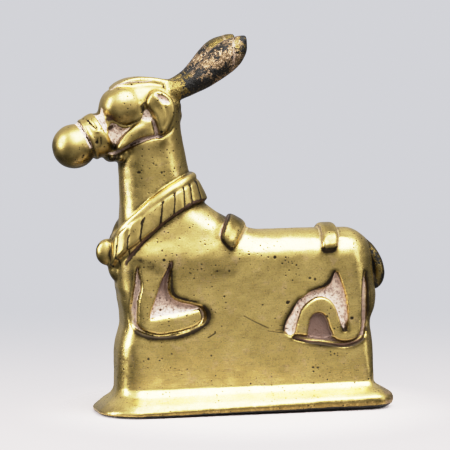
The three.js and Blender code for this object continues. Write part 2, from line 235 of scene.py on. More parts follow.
def slabSolid():
    half, side, inset = slab["plinthLength"] / 2, slab["plinthWidth"] / 2, slab["footInset"]
    corner, rearCorner = slab["plinthFront"], slab["plinthCorner"]
    plinthHeight, waist, pinch = slab["plinthHeight"], slab["waistHeight"], slab["waistPinch"]
    blockFront, bodyCorner = slab["blockFront"], slab["bodyCorner"]
    chestCorner, rumpCorner = slab["chestCorner"], slab["rumpCorner"]
    blockFace, rump = chestX - slab["frontOut"], slab["rumpOut"] - chestX

    def rim(edge, x):
        return mix(slab["frontRim"][edge], slab["rearRim"][edge], np.clip((x / half + 1) / 2, 0, 1))

    rings = [slabRing(0, inset - half, half - inset, side - inset, corner - inset, rearCorner - inset)]
    for share in np.linspace(0, 1, 9):  # the rim's edge is a little rounded
        tuck = slab["rimRound"] * (1 - math.sqrt(max(1 - (2 * share - 1) ** 2, 0)))
        rings.append(slabRing(
            lambda x, t=share: mix(rim(0, x), rim(1, x), t),
            tuck - half, half - tuck, side - tuck, corner - tuck, rearCorner - tuck,
        ))
    # The flare: shares of the way in from the rim to the block, in front, behind and at the sides,
    # and the share of the way up
    flare = [
        (0.08, 0.04, 0.05, 0.02), (0.38, 0.22, 0.28, 0.25), (0.67, 0.5, 0.53, 0.45),
        (0.86, 0.72, 0.75, 0.62), (0.95, 0.87, 0.88, 0.78), (0.99, 0.96, 0.965, 0.9), (1, 1, 1, 1),
    ]
    for inFront, behind, sideward, rise in smoothPath(flare, 24):
        rings.append(slabRing(
            lambda x, t=rise: mix(rim(1, x), plinthHeight, t),
            mix(-half, blockFace, inFront), mix(half, rump, behind), mix(side, halfBody, sideward),
            mix(corner, blockFront, inFront), mix(rearCorner, bodyCorner, behind),
        ))
    # Height, front, rear and the corners' radii at both ends
    levels = [[plinthHeight, blockFace, rump, blockFront, bodyCorner]]
    for share, front, rear in [(0.6, 0.05, 0), (0.77, 0.3, 0.1), (0.9, 0.7, 0.3), (1, 1, 0.3)]:
        levels.append([
            mix(plinthHeight, waist, share), blockFace + front * pinch, rump - rear * pinch,
            mix(blockFront, chestCorner, share), mix(bodyCorner, chestCorner, share),
        ])
    for share, front, rear in [(0.2, 2.4, 103), (0.4, 1, 103.6), (0.65, 0.6, 102.6), (1, 0, 102)]:
        levels.append([
            mix(waist, shoulderHeight, share),
            along(front) - slab["frontOut"] * (1 - share), along(rear),
            chestCorner, mix(chestCorner, rumpCorner, share),
        ])
    profile = softTable(levels, 0.7)
    for z in np.linspace(plinthHeight + 0.2, shoulderHeight, 90):
        front, rear, corner, rearCorner = readTable(profile, z)
        rings.append(slabRing(z, front, rear, halfBody, corner, rearCorner))
    back, crown = slab["backRound"], math.pi / 2 * 0.985  # the back stops just short of a sharp ridge
    for angle in np.linspace(0, crown, 26)[1:]:
        inward = 1 - math.cos(angle)
        rings.append(slabRing(
            shoulderHeight + back * math.sin(angle) / math.sin(crown),
            chestX + 0.4 * back * inward, along(slab["backEnd"]) - back * inward, halfBody * (1 - inward),
            mix(chestCorner, halfBody, inward), mix(rumpCorner, halfBody, inward),
        ))
    return loft(rings)


# Neck and shoulder

headHeight = 59.0
# [height, front, rear, side, squareness behind and in front]: heights in hundredths from the back to the
# head's centre, fronts and rears in hundredths of the body's length, sides of its half width
neckLevels = [
    (-45, 0.6, 42, 66, 3, 3), (-34, 0.2, 50, 84, 2.6, 3), (-24, -0.2, 56, 93, 2.4, 3.6),
    (-8, 0.4, 55, 97, 2.1, 3.8), (2, 0.8, 51, 95, 2, 3.4), (12, 1.1, 42, 91, 1.9, 2.8),
    (20, 1.2, 35.4, 88.5, 1.85, 2.4), (34, 0.9, 30.5, 88, 1.85, 2), (49, 0.5, 28.3, 89, 1.85, 1.85),
    (68, 0.3, 26.5, 89, 1.85, 1.85), (85, 0.5, 24.8, 90, 1.9, 1.9), (107, 1.6, 24.6, 86, 2, 2),
]
neckTable = softTable(neckLevels, 5)


def upNeck(share):
    return backHeight + np.asarray(share) * (headHeight - backHeight) / 100


def neckLevel(z):
    front, rear, side, square, squareInFront = readTable(
        neckTable, 100 * (z - backHeight) / (headHeight - backHeight))
    return along(front), along(rear), side * halfBody / 100, square, squareInFront


def neckSolid():
    turn = np.linspace(0, 2 * math.pi, 96, endpoint=False)
    c, s = np.cos(turn), np.sin(turn)
    rings = []
    for z in upNeck(np.linspace(neckLevels[0][0], neckLevels[-1][0], 110)):
        front, rear, side, square, squareInFront = neckLevel(z)
        power = 2 / np.where(c < 0, squareInFront, square)
        ahead, aside = [np.sign(v) * np.abs(v) ** power for v in (c, s)]
        x = (front + rear) / 2 + (rear - front) / 2 * ahead
        rings.append(np.stack([x, side * aside, np.full(len(x), z)], -1))
    return loft(rings)


# Flank carving: recesses that free the folded legs, cut into both flanks

carving = {
    "lip": 0.04,  # rise of the edge round a recess
    "lipWidth": 0.7,
    "lineWidth": 0.17,  # of the dark line round it
}
# Each has its depth in millimetres, how pink its floor is and from which share of the depth, how red it is
# at its foot and at its top, how dark, and its outline:
# [along the body, up it] in hundredths, and there the width of the wall down to the floor in millimetres
# Red is a dark red-brown residue that also paints the shade deep in the elbow's wedge and in the window.
recesses = {
    "frontSlot": {"depth": 1.1, "pink": 0.62, "pinkFrom": 0.5, "red": (0.9, 0.6), "dark": 0.45, "outline": [
        (5, 79, 0.5), (5.9, 79, 0.3), (6.2, 75, 0.35), (7, 68, 0.35), (6.7, 62.5, 0.35), (5.9, 57, 0.35),
        (5.6, 46, 0.35), (6, 41.7, 0.35), (8.1, 38.2, 0.35), (11.1, 36.3, 0.35), (14.5, 35.4, 0.35),
        (18.8, 36.3, 0.35), (23, 37.6, 0.35), (26.5, 39.3, 0.35), (29.5, 42, 0.35), (30.4, 45.4, 0.35),
        (29.6, 49.6, 0.4), (28, 52, 0.5), (29.6, 53.5, 0.8), (31.9, 51.5, 0.8), (33, 47.4, 0.8),
        (32.3, 43.5, 0.6), (29.8, 40.4, 0.5), (26.3, 37.6, 0.5), (20.9, 35, 0.4), (14.5, 33.8, 0.4),
        (9.6, 34.8, 0.5), (5.3, 37.6, 0.6), (2.6, 43, 0.7), (2.1, 49, 0.8), (2.8, 55, 0.8),
        (3.3, 62, 0.8), (4, 68, 0.7), (4.4, 74, 0.6)]},
    "elbow": {"depth": 1.55, "pink": 0.95, "pinkFrom": 0.15, "red": (0.0, 1.9), "dark": 0.1, "outline": [
        (18.4, 83, 0.3), (18.8, 78.8, 0.3), (18.4, 75, 0.5), (17.9, 69, 0.9), (18, 63.5, 1.2),
        (19.5, 59.5, 1.4), (22, 57, 1.4), (25, 55.5, 1.2), (28, 54, 1), (30.3, 51.5, 0.8),
        (28.5, 49.5, 1.2), (23.7, 47.3, 1.9), (17.8, 45.6, 2.2), (13, 44.8, 2), (10.2, 45, 0.9),
        (10, 46, 0.4), (10.4, 49.2, 0.3), (11.8, 56, 0.3), (13.3, 63, 0.3), (14.5, 69.2, 0.3),
        (16.3, 75.4, 0.3)]},
    "hindTrench": {"depth": 1.45, "pink": 1.0, "pinkFrom": 0.3, "red": (0.0, 0.3), "dark": 0.0, "outline": [
        (84.7, 72.7, 0.25), (86.6, 66.6, 0.35), (88.2, 59.4, 0.35), (89.1, 52.3, 0.35), (89.6, 45, 0.35),
        (89.6, 38.7, 0.35), (89.4, 35.2, 0.4), (88.1, 32.8, 0.4), (87, 36, 0.4), (85.8, 42.5, 0.4),
        (84.3, 49, 0.45), (82.3, 53.3, 0.5), (79.6, 55.6, 0.6), (76.8, 55.7, 0.6), (73.7, 53, 0.5),
        (71.1, 48.9, 0.45), (69.7, 43.3, 0.4), (68.8, 37.7, 0.4), (68, 32.7, 0.4), (66.2, 31.2, 0.5),
        (64, 33.5, 0.7), (63.4, 36.6, 0.8), (64.4, 41.5, 0.8), (66, 45.6, 0.8), (67.4, 50, 0.8),
        (69.2, 54.7, 0.7), (71.5, 57, 0.6), (73.5, 59.5, 0.5), (76, 61.5, 0.7), (79.8, 63, 1),
        (82.2, 66, 0.8), (83.4, 70.3, 0.4)]},
    "window": {"depth": 1.2, "pink": 0.9, "pinkFrom": 0.2, "red": (1.0, 1.1), "dark": 0.35, "outline": [
        (73.3, 31, 0.25), (73.7, 38.8, 0.25), (74.4, 43, 0.25), (75.9, 45.5, 0.25), (77.6, 46, 0.25),
        (79.6, 45, 0.25), (81.2, 41.3, 0.25), (82.3, 35.6, 0.25), (83.4, 30.5, 0.25), (80, 28.6, 0.3),
        (76.3, 29.2, 0.3)]},
    "rearSlot": {"depth": 0.95, "pink": 0.62, "pinkFrom": 0.45, "red": (1.0, 0.6), "dark": 0.4, "outline": [
        (96.4, 73, 0.2), (95.6, 64, 0.25), (95.1, 55.5, 0.3), (95.2, 47, 0.3), (95.3, 37, 0.3),
        (94.2, 31.6, 0.3), (92, 28.2, 0.3), (88.7, 27, 0.3), (85.6, 27.8, 0.3), (83, 30, 0.3),
        (78, 30.2, 0.3), (72.4, 31.5, 0.3), (68, 32.2, 0.3), (66.9, 30, 0.3), (69.8, 28, 0.3),
        (74.6, 26.7, 0.3), (79, 26, 0.3), (83.4, 24.4, 0.3), (87.9, 23.2, 0.3), (92.6, 25, 0.3),
        (96, 28.6, 0.3), (97.4, 36, 0.3), (97.8, 43.3, 0.3), (97.9, 54, 0.3), (97.8, 62, 0.25)]},
}

# Painted shadow under and beside the carved legs, and two stains on the belly and by the knee: strength and
# stroke [along, up, half width] in hundredths
shadowsAndStains = {
    "underLeg": (1.0, [
        (3, 38.6, 0.4), (7.8, 34.4, 0.8), (13.8, 32.9, 0.9), (20.9, 33.4, 0.9), (26.5, 36, 0.8),
        (30.5, 39.4, 0.5)]),
    "underHind": (1.0, [
        (67.5, 30, 0.4), (73.9, 27, 0.7), (84, 24.4, 0.9), (91, 24.4, 0.9), (96, 28, 0.5)]),
    "elbowRight": (0.8, [
        (18.6, 76, 0.1), (18.6, 66, 0.3), (19.8, 60.2, 0.5), (24, 57.4, 0.5), (28.6, 55.6, 0.3)]),
    "armEnd": (0.9, [(31.2, 53, 0.3), (33.2, 48, 0.6), (32.8, 42.6, 0.5), (30.6, 38.8, 0.3)]),
    "slotLeft": (0.7, [(1.8, 45, 0.4), (2.5, 55, 0.3), (2.9, 64.5, 0.3), (3.5, 76, 0.2)]),
    "slotFoot": (0.9, [(1.8, 46, 0.4), (3, 40, 0.6), (6, 36.4, 0.5)]),
    "trenchTop": (0.9, [(74, 60.6, 0.2), (79, 63.4, 0.6), (82, 67, 0.7), (83.6, 73.4, 0.3)]),
    "trenchLeft": (0.8, [(70.2, 56, 0.3), (67, 49.6, 0.4), (64.2, 41, 0.5), (63.4, 35, 0.4)]),
    "trenchFoot": (1.0, [(88.2, 38.4, 0.6), (88.2, 34.2, 0.9)]),
    "rearLine": (0.9, [(97.4, 72, 0.2), (98, 60, 0.3), (98, 46, 0.3), (97.4, 33, 0.3)]),
    "bellyStain": (0.4, [(36, 75, 0.8), (40, 73.4, 1.2), (43, 74, 0.6)]),
    "kneeStain": (0.5, [(6, 84, 1), (10, 80, 1.5), (13, 76, 1)]),
}


def segmentGap(across, up, start, end):  # how far along a segment the nearest place is, and how far off
    x, z, dx, dz = start[0], start[1], end[0] - start[0], end[1] - start[1]
    t = np.clip(((across - x) * dx + (up - z) * dz) / (dx * dx + dz * dz), 0, 1)
    return t, np.hypot(across - x - t * dx, up - z - t * dz)


def outlineEdge(across, up, outline, steps=4):
    # Distance to a closed outline, negative inside, and the outline's third value at the nearest place
    path = smoothPath(outline, len(outline) * steps, closed=True)
    if path.shape[1] < 3:
        path = np.column_stack([path, np.zeros(len(path))])
    shape = np.broadcast(across, up).shape
    best = np.full(shape, 1e3, np.float32)
    third = np.zeros(shape, np.float32)
    inside = np.zeros(shape, bool)
    for start, end in zip(path, np.roll(path, -1, axis=0)):
        t, gap = segmentGap(across, up, start, end)
        third = np.where(gap < best, mix(start[2], end[2], t), third)
        best = np.minimum(best, gap)
        crosses = (start[1] > up) != (end[1] > up)
        rise = end[1] - start[1]
        crossing = start[0] + (up - start[1]) * (end[0] - start[0]) / (rise if rise else 1e-9)
        inside ^= crosses & (across < crossing)
    return np.where(inside, -best, best), third


def strokeEdge(across, up, stroke, steps=5):  # distance to the edge of a stroke of changing width
    path = smoothPath(stroke, len(stroke) * steps)
    best = np.full(np.broadcast(across, up).shape, 99.0, np.float32)
    for start, end in zip(path[:-1], path[1:]):
        t, gap = segmentGap(across, up, start, end)
        best = np.minimum(best, gap - mix(start[2], end[2], t))
    return best


def flankMaps():  # depth, pink, red, dark and the dark line round each recess
    across, up = gridX[:, None].astype(np.float32), gridZ[None, :].astype(np.float32)
    maps = [np.zeros((len(gridX), len(gridZ)), np.float32) for _ in range(5)]
    for recess in recesses.values():
        inPlace = np.array([(float(along(a)), float(upBody(u)), wall) for a, u, wall in recess["outline"]])
        edge, wall = outlineEdge(across, up, inPlace)
        share = smoothStep(-edge / np.maximum(wall, 0.1), -0.15, 1)
        lip = carving["lip"] * np.clip(1 - np.abs(edge) / carving["lipWidth"], 0, 1) ** 2 * (edge > 0)
        floor = smoothStep(share, recess["pinkFrom"], recess["pinkFrom"] + 0.4)
        foot, top = inPlace[:, 1].min(), inPlace[:, 1].max()
        red = np.clip(mix(*recess["red"], (up - foot) / (top - foot)), 0, 1)
        line = np.exp(-((edge + 0.02) / carving["lineWidth"]) ** 2)
        values = (
            recess["depth"] * share + lip, recess["pink"] * floor, red * floor, recess["dark"] * floor, line,
        )
        maps = [np.maximum(old, new) for old, new in zip(maps, values)]
    return maps


# Head: in hundredths of its length about its own centre, nose towards -X, then tilted

head = {
    "length": 26.4,
    "tilt": 24.7,  # degrees, nose down
    "centre": np.array([chestX + 0.075 * slab["bodyLength"], 0, headHeight]),
    "rear": -6,  # millimetres: the head's own carving ends at this X
    "foot": 46,  # and at this height
    "noseRadius": 16.5,
    "noseCentre": -52.5,
    "stripWidth": 19,
}
headPart = head["length"] / 100
tiltCos, tiltSin = math.cos(math.radians(head["tilt"])), math.sin(math.radians(head["tilt"]))


def onHead(solid):
    x, y, z = (np.asarray(solid[0]) * headPart).T
    turned = np.stack([tiltCos * x - tiltSin * z, y, tiltSin * x + tiltCos * z], -1)
    return turned + head["centre"], solid[1]


def headShares(x, z):  # where a place lies on the head, in the same hundredths
    dx, dz = x - head["centre"][0], z - head["centre"][2]
    return (tiltCos * dx + tiltSin * dz) / headPart, (tiltCos * dz - tiltSin * dx) / headPart


def skull():
    # [along, top, bottom, half width]
    table = softTable([
        (-30, 10, -14, 12), (-25, 12.5, -17, 14), (-16, 18, -20, 15.5), (-7, 23, -21, 17),
        (6, 22.5, -21, 18), (18, 17, -20, 18), (27, 11, -17, 15), (31, 4, -10, 9),
    ], 2.5)
    turn = np.linspace(0, 2 * math.pi, 64, endpoint=False)
    rings = []
    for x in np.linspace(-30, 31, 50):
        top, bottom, side = readTable(table, x)
        z = (top + bottom) / 2 + (top - bottom) / 2 * np.cos(turn)
        rings.append(np.stack([np.full(len(turn), x), side * np.sin(turn), z], -1))
    return loft(rings)


def lathe(profile, sides=64, drop=3):  # turned about a line under the head's middle: [radius, along]
    turn = np.linspace(0, 2 * math.pi, sides, endpoint=False)
    return loft([
        np.stack([np.full(sides, x), radius * np.cos(turn), radius * np.sin(turn) - drop], -1)
        for radius, x in profile
    ])


def nose():
    centre, radius = head["noseCentre"], head["noseRadius"]
    angles = np.linspace(0.03, math.pi * 0.66, 40)
    profile = [(radius * math.sin(a), centre - radius * math.cos(a)) for a in angles]
    return lathe(profile + [(12.6, -41), (12.6, -30)])


def bands():
    profile = smoothPath([
        (8, -43), (14.6, -42.8), (15.9, -42), (16.4, -41), (16.2, -40.2), (15.9, -39.6), (16.2, -38.4),
        (16.6, -36), (16.8, -33.5), (16.7, -31.6), (16.2, -30.4), (15.5, -29.9), (15.3, -29),
        (14.6, -27.5), (8, -26.6),
    ], 90)
    return lathe(profile)


headWindow = (gridX < head["rear"], gridZ > head["foot"])
headAlong, headUp = headShares(gridX[headWindow[0]][:, None], gridZ[headWindow[1]][None, :])
headSlices = (slice(0, int(headWindow[0].sum())), slice(None), slice(int((~headWindow[1]).sum()), None))


def addPlate(outline, inner, outer, edge, blend, crown, dents=()):
    # A leaf standing off both sides of the head; each dent has its middle, size and depth
    inward, _ = outlineEdge(headAlong, headUp, outline)
    top = outer + crown * (1 - np.exp(inward / 5)) * (inward < 0)
    for centre, size, depth in dents:
        far = ((headAlong - centre[0]) / size[0]) ** 2 + ((headUp - centre[1]) / size[1]) ** 2
        top = top - depth * np.exp(-far)
    side = np.abs(gridY)[None, :, None] / headPart
    a = (inward + edge)[:, None, :]
    b = np.maximum(side - (top - edge)[:, None, :], inner + edge - side)
    field = np.hypot(np.maximum(a, 0), np.maximum(b, 0)) + np.minimum(np.maximum(a, b), 0) - edge
    casting[headSlices] = lower(casting[headSlices], (field * headPart).astype(np.float32), blend)


plates = {  # hundredths of the head's length, and blend in millimetres
    "jaw": {"inner": 6, "outer": 19, "edge": 2.6, "blend": 0.2, "crown": 1.8, "outline": [
        (-26.6, -14), (-20.4, -9.6), (-13.5, -6.6), (-5.7, -5.6), (4.2, -7.4), (3, -16.8), (-9, -17),
        (-25.5, -18.8)]},
    "ear": {"inner": 12, "outer": 24, "edge": 3.4, "blend": 0.2, "crown": 2.0, "outline": [
        (5.4, 5.4), (8, 8.4), (13.1, 11.2), (18.4, 10.2), (23, 4.6), (25, -2), (23.3, -8.9), (18.9, -14.2),
        (11.8, -20), (6, -21), (4.6, -17.5), (5.6, -10.8), (6.4, -3.9), (5, 1.2)],
        "dents": [((10.2, 0.5), (3.6, 5), 1.5)]},
}

# Lines cut into the sides of the head: depth in mm and stroke in hundredths of the head's length
headLines = {
    "eyeCrease": (0.4, [
        (-22.8, 8.4, 0.2), (-20.9, 5, 0.3), (-17.5, -0.6, 0.4), (-13.1, -3.9, 0.45), (-7.3, -4.4, 0.45),
        (-1.8, -3.6, 0.3)]),
    "earEye": (0.35, [(0.8, -1.1, 0.6), (2.1, 2.3, 0.8), (4.2, 5.2, 0.4)]),
    "underJaw": (0.75, [
        (-32.8, -17.5, 0.6), (-28.6, -19.1, 1), (-22.6, -18.8, 1.2), (-14.7, -18, 1.3), (-7.4, -18.2, 1.3),
        (-2, -18.9, 1.2), (2.4, -20.1, 1.0), (6.6, -22.4, 0.5)]),
    "earFoot": (0.35, [(6, -22.2, 0.4), (12.8, -22.2, 0.4), (17.6, -20.4, 0.3)]),
    "jawEar": (0.6, [(4.9, -8, 0.7), (4.4, -13.3, 1.0), (3.4, -18.6, 1.1)]),
    "stripLine": (0.35, [
        (-12, 23.8, 0.3), (-6, 24.8, 0.4), (0, 24, 0.45), (5, 22.4, 0.5), (9.7, 20.2, 0.6),
        (14.8, 18.2, 0.5), (18.5, 17.2, 0.4)]),
    "bandDash": (0.5, [(-37.7, 13.6, 0.3), (-36.5, 8.4, 0.7), (-35.3, 3.8, 0.3)]),
    "bandLine": (0.3, [(-30.2, 13.2, 0.4), (-29.9, 6.8, 0.5), (-29.5, -1.1, 0.5)]),
    "shortFirst": (0.4, [(-37, -2.6, 0.2), (-38.4, -5.2, 0.45), (-39.2, -7.3, 0.2)]),
    "shortSecond": (0.4, [(-34.8, -3, 0.2), (-35.7, -6, 0.45), (-36.7, -8.6, 0.2)]),
    "earFurrow": (0.3, [(16.2, -0.6, 0.6), (16, -5.5, 0.6), (13.8, -11.1, 0.5), (9.5, -15.6, 0.3)]),
}

# Hollows in the sides of the head: depth in mm, wall in hundredths, how pink and how dark, and outline
headHollows = {
    "cheek": {"depth": 1.0, "wall": 3.0, "pink": 0.9, "dark": 0.15, "outline": [
        (-23.1, 2.6), (-19.6, 0.6), (-17.2, -3.4), (-13.4, -5.6), (-9, -5.6), (-13.6, -7.6), (-18.6, -9.6),
        (-23, -12.2), (-26.6, -14.2), (-27.6, -11.4), (-28.4, -8), (-28.6, -4.4), (-26, -0.8)]},
    "eyeCorner": {"depth": 0.5, "wall": 2.4, "pink": 0.55, "dark": 0.3, "outline": [
        (-2.4, -4), (0, -1.2), (3, 1.6), (5.4, 0.4), (6, -3.6), (6, -7), (3.6, -8), (-0.4, -6.4)]},
    "ear": {"depth": 0.75, "wall": 1.4, "pink": 0.95, "dark": 0.0, "outline": [
        (13.6, 9.4), (17, 6.8), (20, 3.8), (21, -1), (18, -0.6), (15.4, 1)]},
}


def headMap():
    depth = np.zeros(headAlong.shape, np.float32)
    for deep, stroke in headLines.values():
        edge = strokeEdge(headAlong, headUp, stroke)
        depth = np.maximum(depth, deep * smoothStep(-edge, -0.6, 0.6))
    for dip in headHollows.values():
        edge, _ = outlineEdge(headAlong, headUp, dip["outline"])
        depth = np.maximum(depth, dip["depth"] * smoothStep(-edge / dip["wall"], -0.2, 1))
    return depth


def strip():
    # Forehead strip: centre line [along, up] from the nose bridge to the horns
    path = smoothPath([(-10, 24.6), (-4, 26.2), (3, 26), (10, 24), (17, 20.6), (25, 16), (32, 11)], 34)
    y = np.array([-1, -0.97, -0.85, -0.5, 0, 0.5, 0.85, 0.97, 1]) * head["stripWidth"] / 2
    drop = np.array([-9, -1.6, -0.6, -0.1, 0, -0.1, -0.6, -1.6, -9])
    return loft([np.stack([np.full(len(y), x), y, z + drop], -1) for x, z in path])


# Geometry Nodes: bars along a path, and rows of leaves along one

def addNode(tree, kind, values=None, **settings):
    made = tree.nodes.new(kind)
    for name, value in settings.items():
        setattr(made, name, value)
    for name, value in (values or {}).items():
        if isinstance(value, bpy.types.NodeSocket):
            tree.links.new(value, made.inputs[name])
        else:
            made.inputs[name].default_value = value
    return made


def mathNode(tree, operation, a, b=0.0, **settings):
    return addNode(tree, "ShaderNodeMath", {0: a, 1: b}, operation=operation, **settings).outputs[0]


def vectorNode(tree, operation, values, output=0):
    return addNode(tree, "ShaderNodeVectorMath", values, operation=operation).outputs[output]


def newTree(name, sizes):
    kinds = {float: "NodeSocketFloat", int: "NodeSocketInt", bool: "NodeSocketBool"}
    tree = bpy.data.node_groups.new(name, "GeometryNodeTree")
    tree.interface.new_socket("Path", in_out="INPUT", socket_type="NodeSocketGeometry")
    for label, value in sizes.items():
        socket = tree.interface.new_socket(label, in_out="INPUT", socket_type=kinds[type(value)])
        socket.default_value = value
    tree.interface.new_socket("Material", in_out="INPUT", socket_type="NodeSocketMaterial")
    tree.interface.new_socket("Geometry", in_out="OUTPUT", socket_type="NodeSocketGeometry")
    return tree, tree.nodes.new("NodeGroupInput").outputs


def endTree(tree, geometry, material):
    whole = addNode(tree, "GeometryNodeRealizeInstances", {"Geometry": geometry})
    dressed = addNode(tree, "GeometryNodeSetMaterial", {"Geometry": whole.outputs[0], "Material": material})
    tree.links.new(dressed.outputs[0], tree.nodes.new("NodeGroupOutput").inputs[0])
    return tree


def barTree():  # a round bar whose thickness is the path's own
    tree, given = newTree("barAlongPath", {"Thickness": 1.0, "Sides": 32, "Capped": True})
    curve = addNode(tree, "GeometryNodeMeshToCurve", {"Mesh": given["Path"]})
    thick = addNode(tree, "GeometryNodeInputNamedAttribute", {"Name": "thickness"}, data_type="FLOAT")
    scale = mathNode(tree, "MULTIPLY", thick.outputs[0], given["Thickness"])
    circle = addNode(tree, "GeometryNodeCurvePrimitiveCircle", {"Resolution": given["Sides"], "Radius": 1.0})
    bar = addNode(tree, "GeometryNodeCurveToMesh", {
        "Curve": curve.outputs[0], "Profile Curve": circle.outputs[0], "Scale": scale,
        "Fill Caps": given["Capped"],
    })
    return endTree(tree, bar.outputs[0], given["Material"])


def leafTree():  # pads side by side along a closed path, each bent to it
    tree, given = newTree("leavesAlongPath", {
        "Leaf count": 20, "Steps": 36, "Gap": 0.08, "Length": 1.0, "Thickness": 1.0, "Slant": 0.2,
        "Squareness": 0.5,
    })

    def maths(operation, a, b):
        return mathNode(tree, operation, a, b)

    cube = addNode(tree, "GeometryNodeMeshCube", {"Size": (1, 1, 1)})
    pad = addNode(tree, "GeometryNodeSubdivisionSurface", {
        "Mesh": cube.outputs[0], "Level": 4, "Edge Crease": given["Squareness"],
    })
    row = addNode(tree, "GeometryNodeMeshLine", {
        "Count": given["Leaf count"], "Start Location": (0.5, 0, 0), "Offset": (1, 0, 0),
    })
    narrow = addNode(tree, "ShaderNodeCombineXYZ", {0: maths("SUBTRACT", 1.0, given["Gap"]), 1: 1.0, 2: 1.0})
    pads = addNode(tree, "GeometryNodeInstanceOnPoints", {
        "Points": row.outputs[0], "Instance": pad.outputs[0], "Scale": narrow.outputs[0],
    })
    flat = addNode(tree, "GeometryNodeRealizeInstances", {"Geometry": pads.outputs[0]})
    place = addNode(tree, "ShaderNodeSeparateXYZ", {0: addNode(tree, "GeometryNodeInputPosition").outputs[0]})
    shifted = maths("ADD", place.outputs[0], maths("MULTIPLY", place.outputs[1], given["Slant"]))
    whole = maths("MULTIPLY", given["Leaf count"], given["Steps"])
    step = maths("ADD", maths("MULTIPLY", shifted, given["Steps"]), maths("ADD", whole, 0.5))
    index = maths("MODULO", step, whole)

    def sampled(value):
        return addNode(tree, "GeometryNodeSampleIndex", {
            "Geometry": given["Path"], "Value": value, "Index": index,
        }, data_type="FLOAT_VECTOR", domain="POINT").outputs[0]

    def named(name):
        wanted = addNode(tree, "GeometryNodeInputNamedAttribute", {"Name": name}, data_type="FLOAT_VECTOR")
        return wanted.outputs[0]

    def scaled(vector, amount):
        return vectorNode(tree, "SCALE", {0: vector, "Scale": amount})

    def summed(a, b):
        return vectorNode(tree, "ADD", {0: a, 1: b})

    middle = sampled(addNode(tree, "GeometryNodeInputPosition").outputs[0])
    down = scaled(sampled(named("downward")), maths("MULTIPLY", place.outputs[1], given["Length"]))
    out = scaled(sampled(named("outward")), maths("MULTIPLY", place.outputs[2], given["Thickness"]))
    bent = addNode(tree, "GeometryNodeSetPosition", {
        "Geometry": flat.outputs[0], "Position": summed(middle, summed(down, out)),
    })
    return endTree(tree, bent.outputs[0], given["Material"])


brass = bpy.data.materials.new("brass")


def treeSolid(tree, path, closed, attributes, sizes):  # runs a tree on a path and returns its skin
    mesh = bpy.data.meshes.new(tree.name)
    edges = [(i, i + 1) for i in range(len(path) - 1)] + ([(len(path) - 1, 0)] if closed else [])
    mesh.from_pydata(np.asarray(path).tolist(), edges, [])
    for name, values in attributes.items():
        values = np.asarray(values, np.float32)
        isVector = values.ndim == 2
        layer = mesh.attributes.new(name, "FLOAT_VECTOR" if isVector else "FLOAT", "POINT")
        layer.data.foreach_set("vector" if isVector else "value", values.ravel())
    piece = bpy.data.objects.new(tree.name, mesh)
    bpy.context.collection.objects.link(piece)
    modifier = piece.modifiers.new(tree.name, "NODES")
    modifier.node_group = tree
    sockets = {item.name: item.identifier for item in tree.interface.items_tree if item.in_out == "INPUT"}
    modifier[sockets["Material"]] = brass
    for name, value in sizes.items():
        modifier[sockets[name]] = value
    evaluated = piece.evaluated_get(bpy.context.evaluated_depsgraph_get())
    made = bpy.data.meshes.new_from_object(evaluated)
    made.calc_loop_triangles()
    points = np.empty(len(made.vertices) * 3, np.float32)
    made.vertices.foreach_get("co", points)
    faces = np.empty(len(made.loop_triangles) * 3, np.int32)
    made.loop_triangles.foreach_get("vertices", faces)
    bpy.data.objects.remove(piece)
    bpy.data.meshes.remove(made)
    bpy.data.meshes.remove(mesh)
    return points.reshape(-1, 3), faces.reshape(-1, 3)


bars, leaves = barTree(), leafTree()

# Garland: an upper ring, a row of leaves and a thin lower border, lying round the neck

garland = {
    "depth": 6.5,  # top to bottom at the sides of the neck
    "axis": float(along(14.5)),
    # Where each leaf begins, in degrees round the neck from the chest at 180 to the nape at 360
    "leafEdges": [180, 194, 208.5, 226.5, 243, 269, 285.5, 300, 312, 330, 360],
    "ringAt": 0.17,  # share of the depth from the top
    "ringThickness": 1.12,
    "borderAt": 0.94,
    "borderThickness": 0.5,
    "bandRise": 0.65,
    "sunk": 1.8,  # how much flatter it lies in front on the far side
    "leavesAt": 0.59,
    "leafReach": (0.28, 0.9),  # top and foot of a leaf, in shares of the depth
    "leafThickness": 2.9,
    "leafLength": 1.03,
    "gap": 0.02,
    "squareness": 0.45,
    "slant": -0.15,
    "halfLength": 8.6,  # of the neck within it
    "halfWidth": 7,
    "neckRadius": 7.4,
    "bellAt": 0.51,
    "bellOut": 1.9,  # how far its centre stands off the chest
    "bellRadius": 2.6,
}


def garlandTop(forward):  # -1 at the chest, 1 at the nape
    return upNeck(34.8 + 22.6 * forward - 7.9 * forward**2 - 5 * np.where(forward < 0, forward, 0) ** 8)


def garlandDepth(forward):
    return garland["depth"] * (1 - 0.12 * forward)


def onNeck(turn, share, stand):
    # share of the garland's depth from its top, and how far the place stands off the neck
    forward = np.cos(turn)
    z = garlandTop(forward) - share * garlandDepth(forward)
    direction = np.stack([garland["halfLength"] * forward, garland["halfWidth"] * np.sin(turn)], -1)
    direction /= np.linalg.norm(direction, axis=-1, keepdims=True)
    front, rear, side, square, squareInFront = neckLevel(z)
    near, far = np.zeros_like(turn), np.full_like(turn, slab["bodyLength"])
    for _ in range(30):
        middle = (near + far) / 2
        x = garland["axis"] + middle * direction[:, 0] - (front + rear) / 2
        y = middle * direction[:, 1]
        power = np.where(x < 0, squareInFront, square)
        inside = np.abs(2 * x / (rear - front)) ** power + np.abs(y / side) ** power < 1
        near, far = np.where(inside, middle, near), np.where(inside, far, middle)
    reach = near + stand
    return np.stack([garland["axis"] + reach * direction[:, 0], reach * direction[:, 1], z], -1)


def roundNeck(turn):  # how much of each place lies at the chest and at the nape, and how far it is sunk
    chest, nape = np.maximum(-np.cos(turn), 0), np.maximum(np.cos(turn), 0) ** 3
    return chest, nape, garland["sunk"] * chest * np.maximum(np.sin(turn), 0)


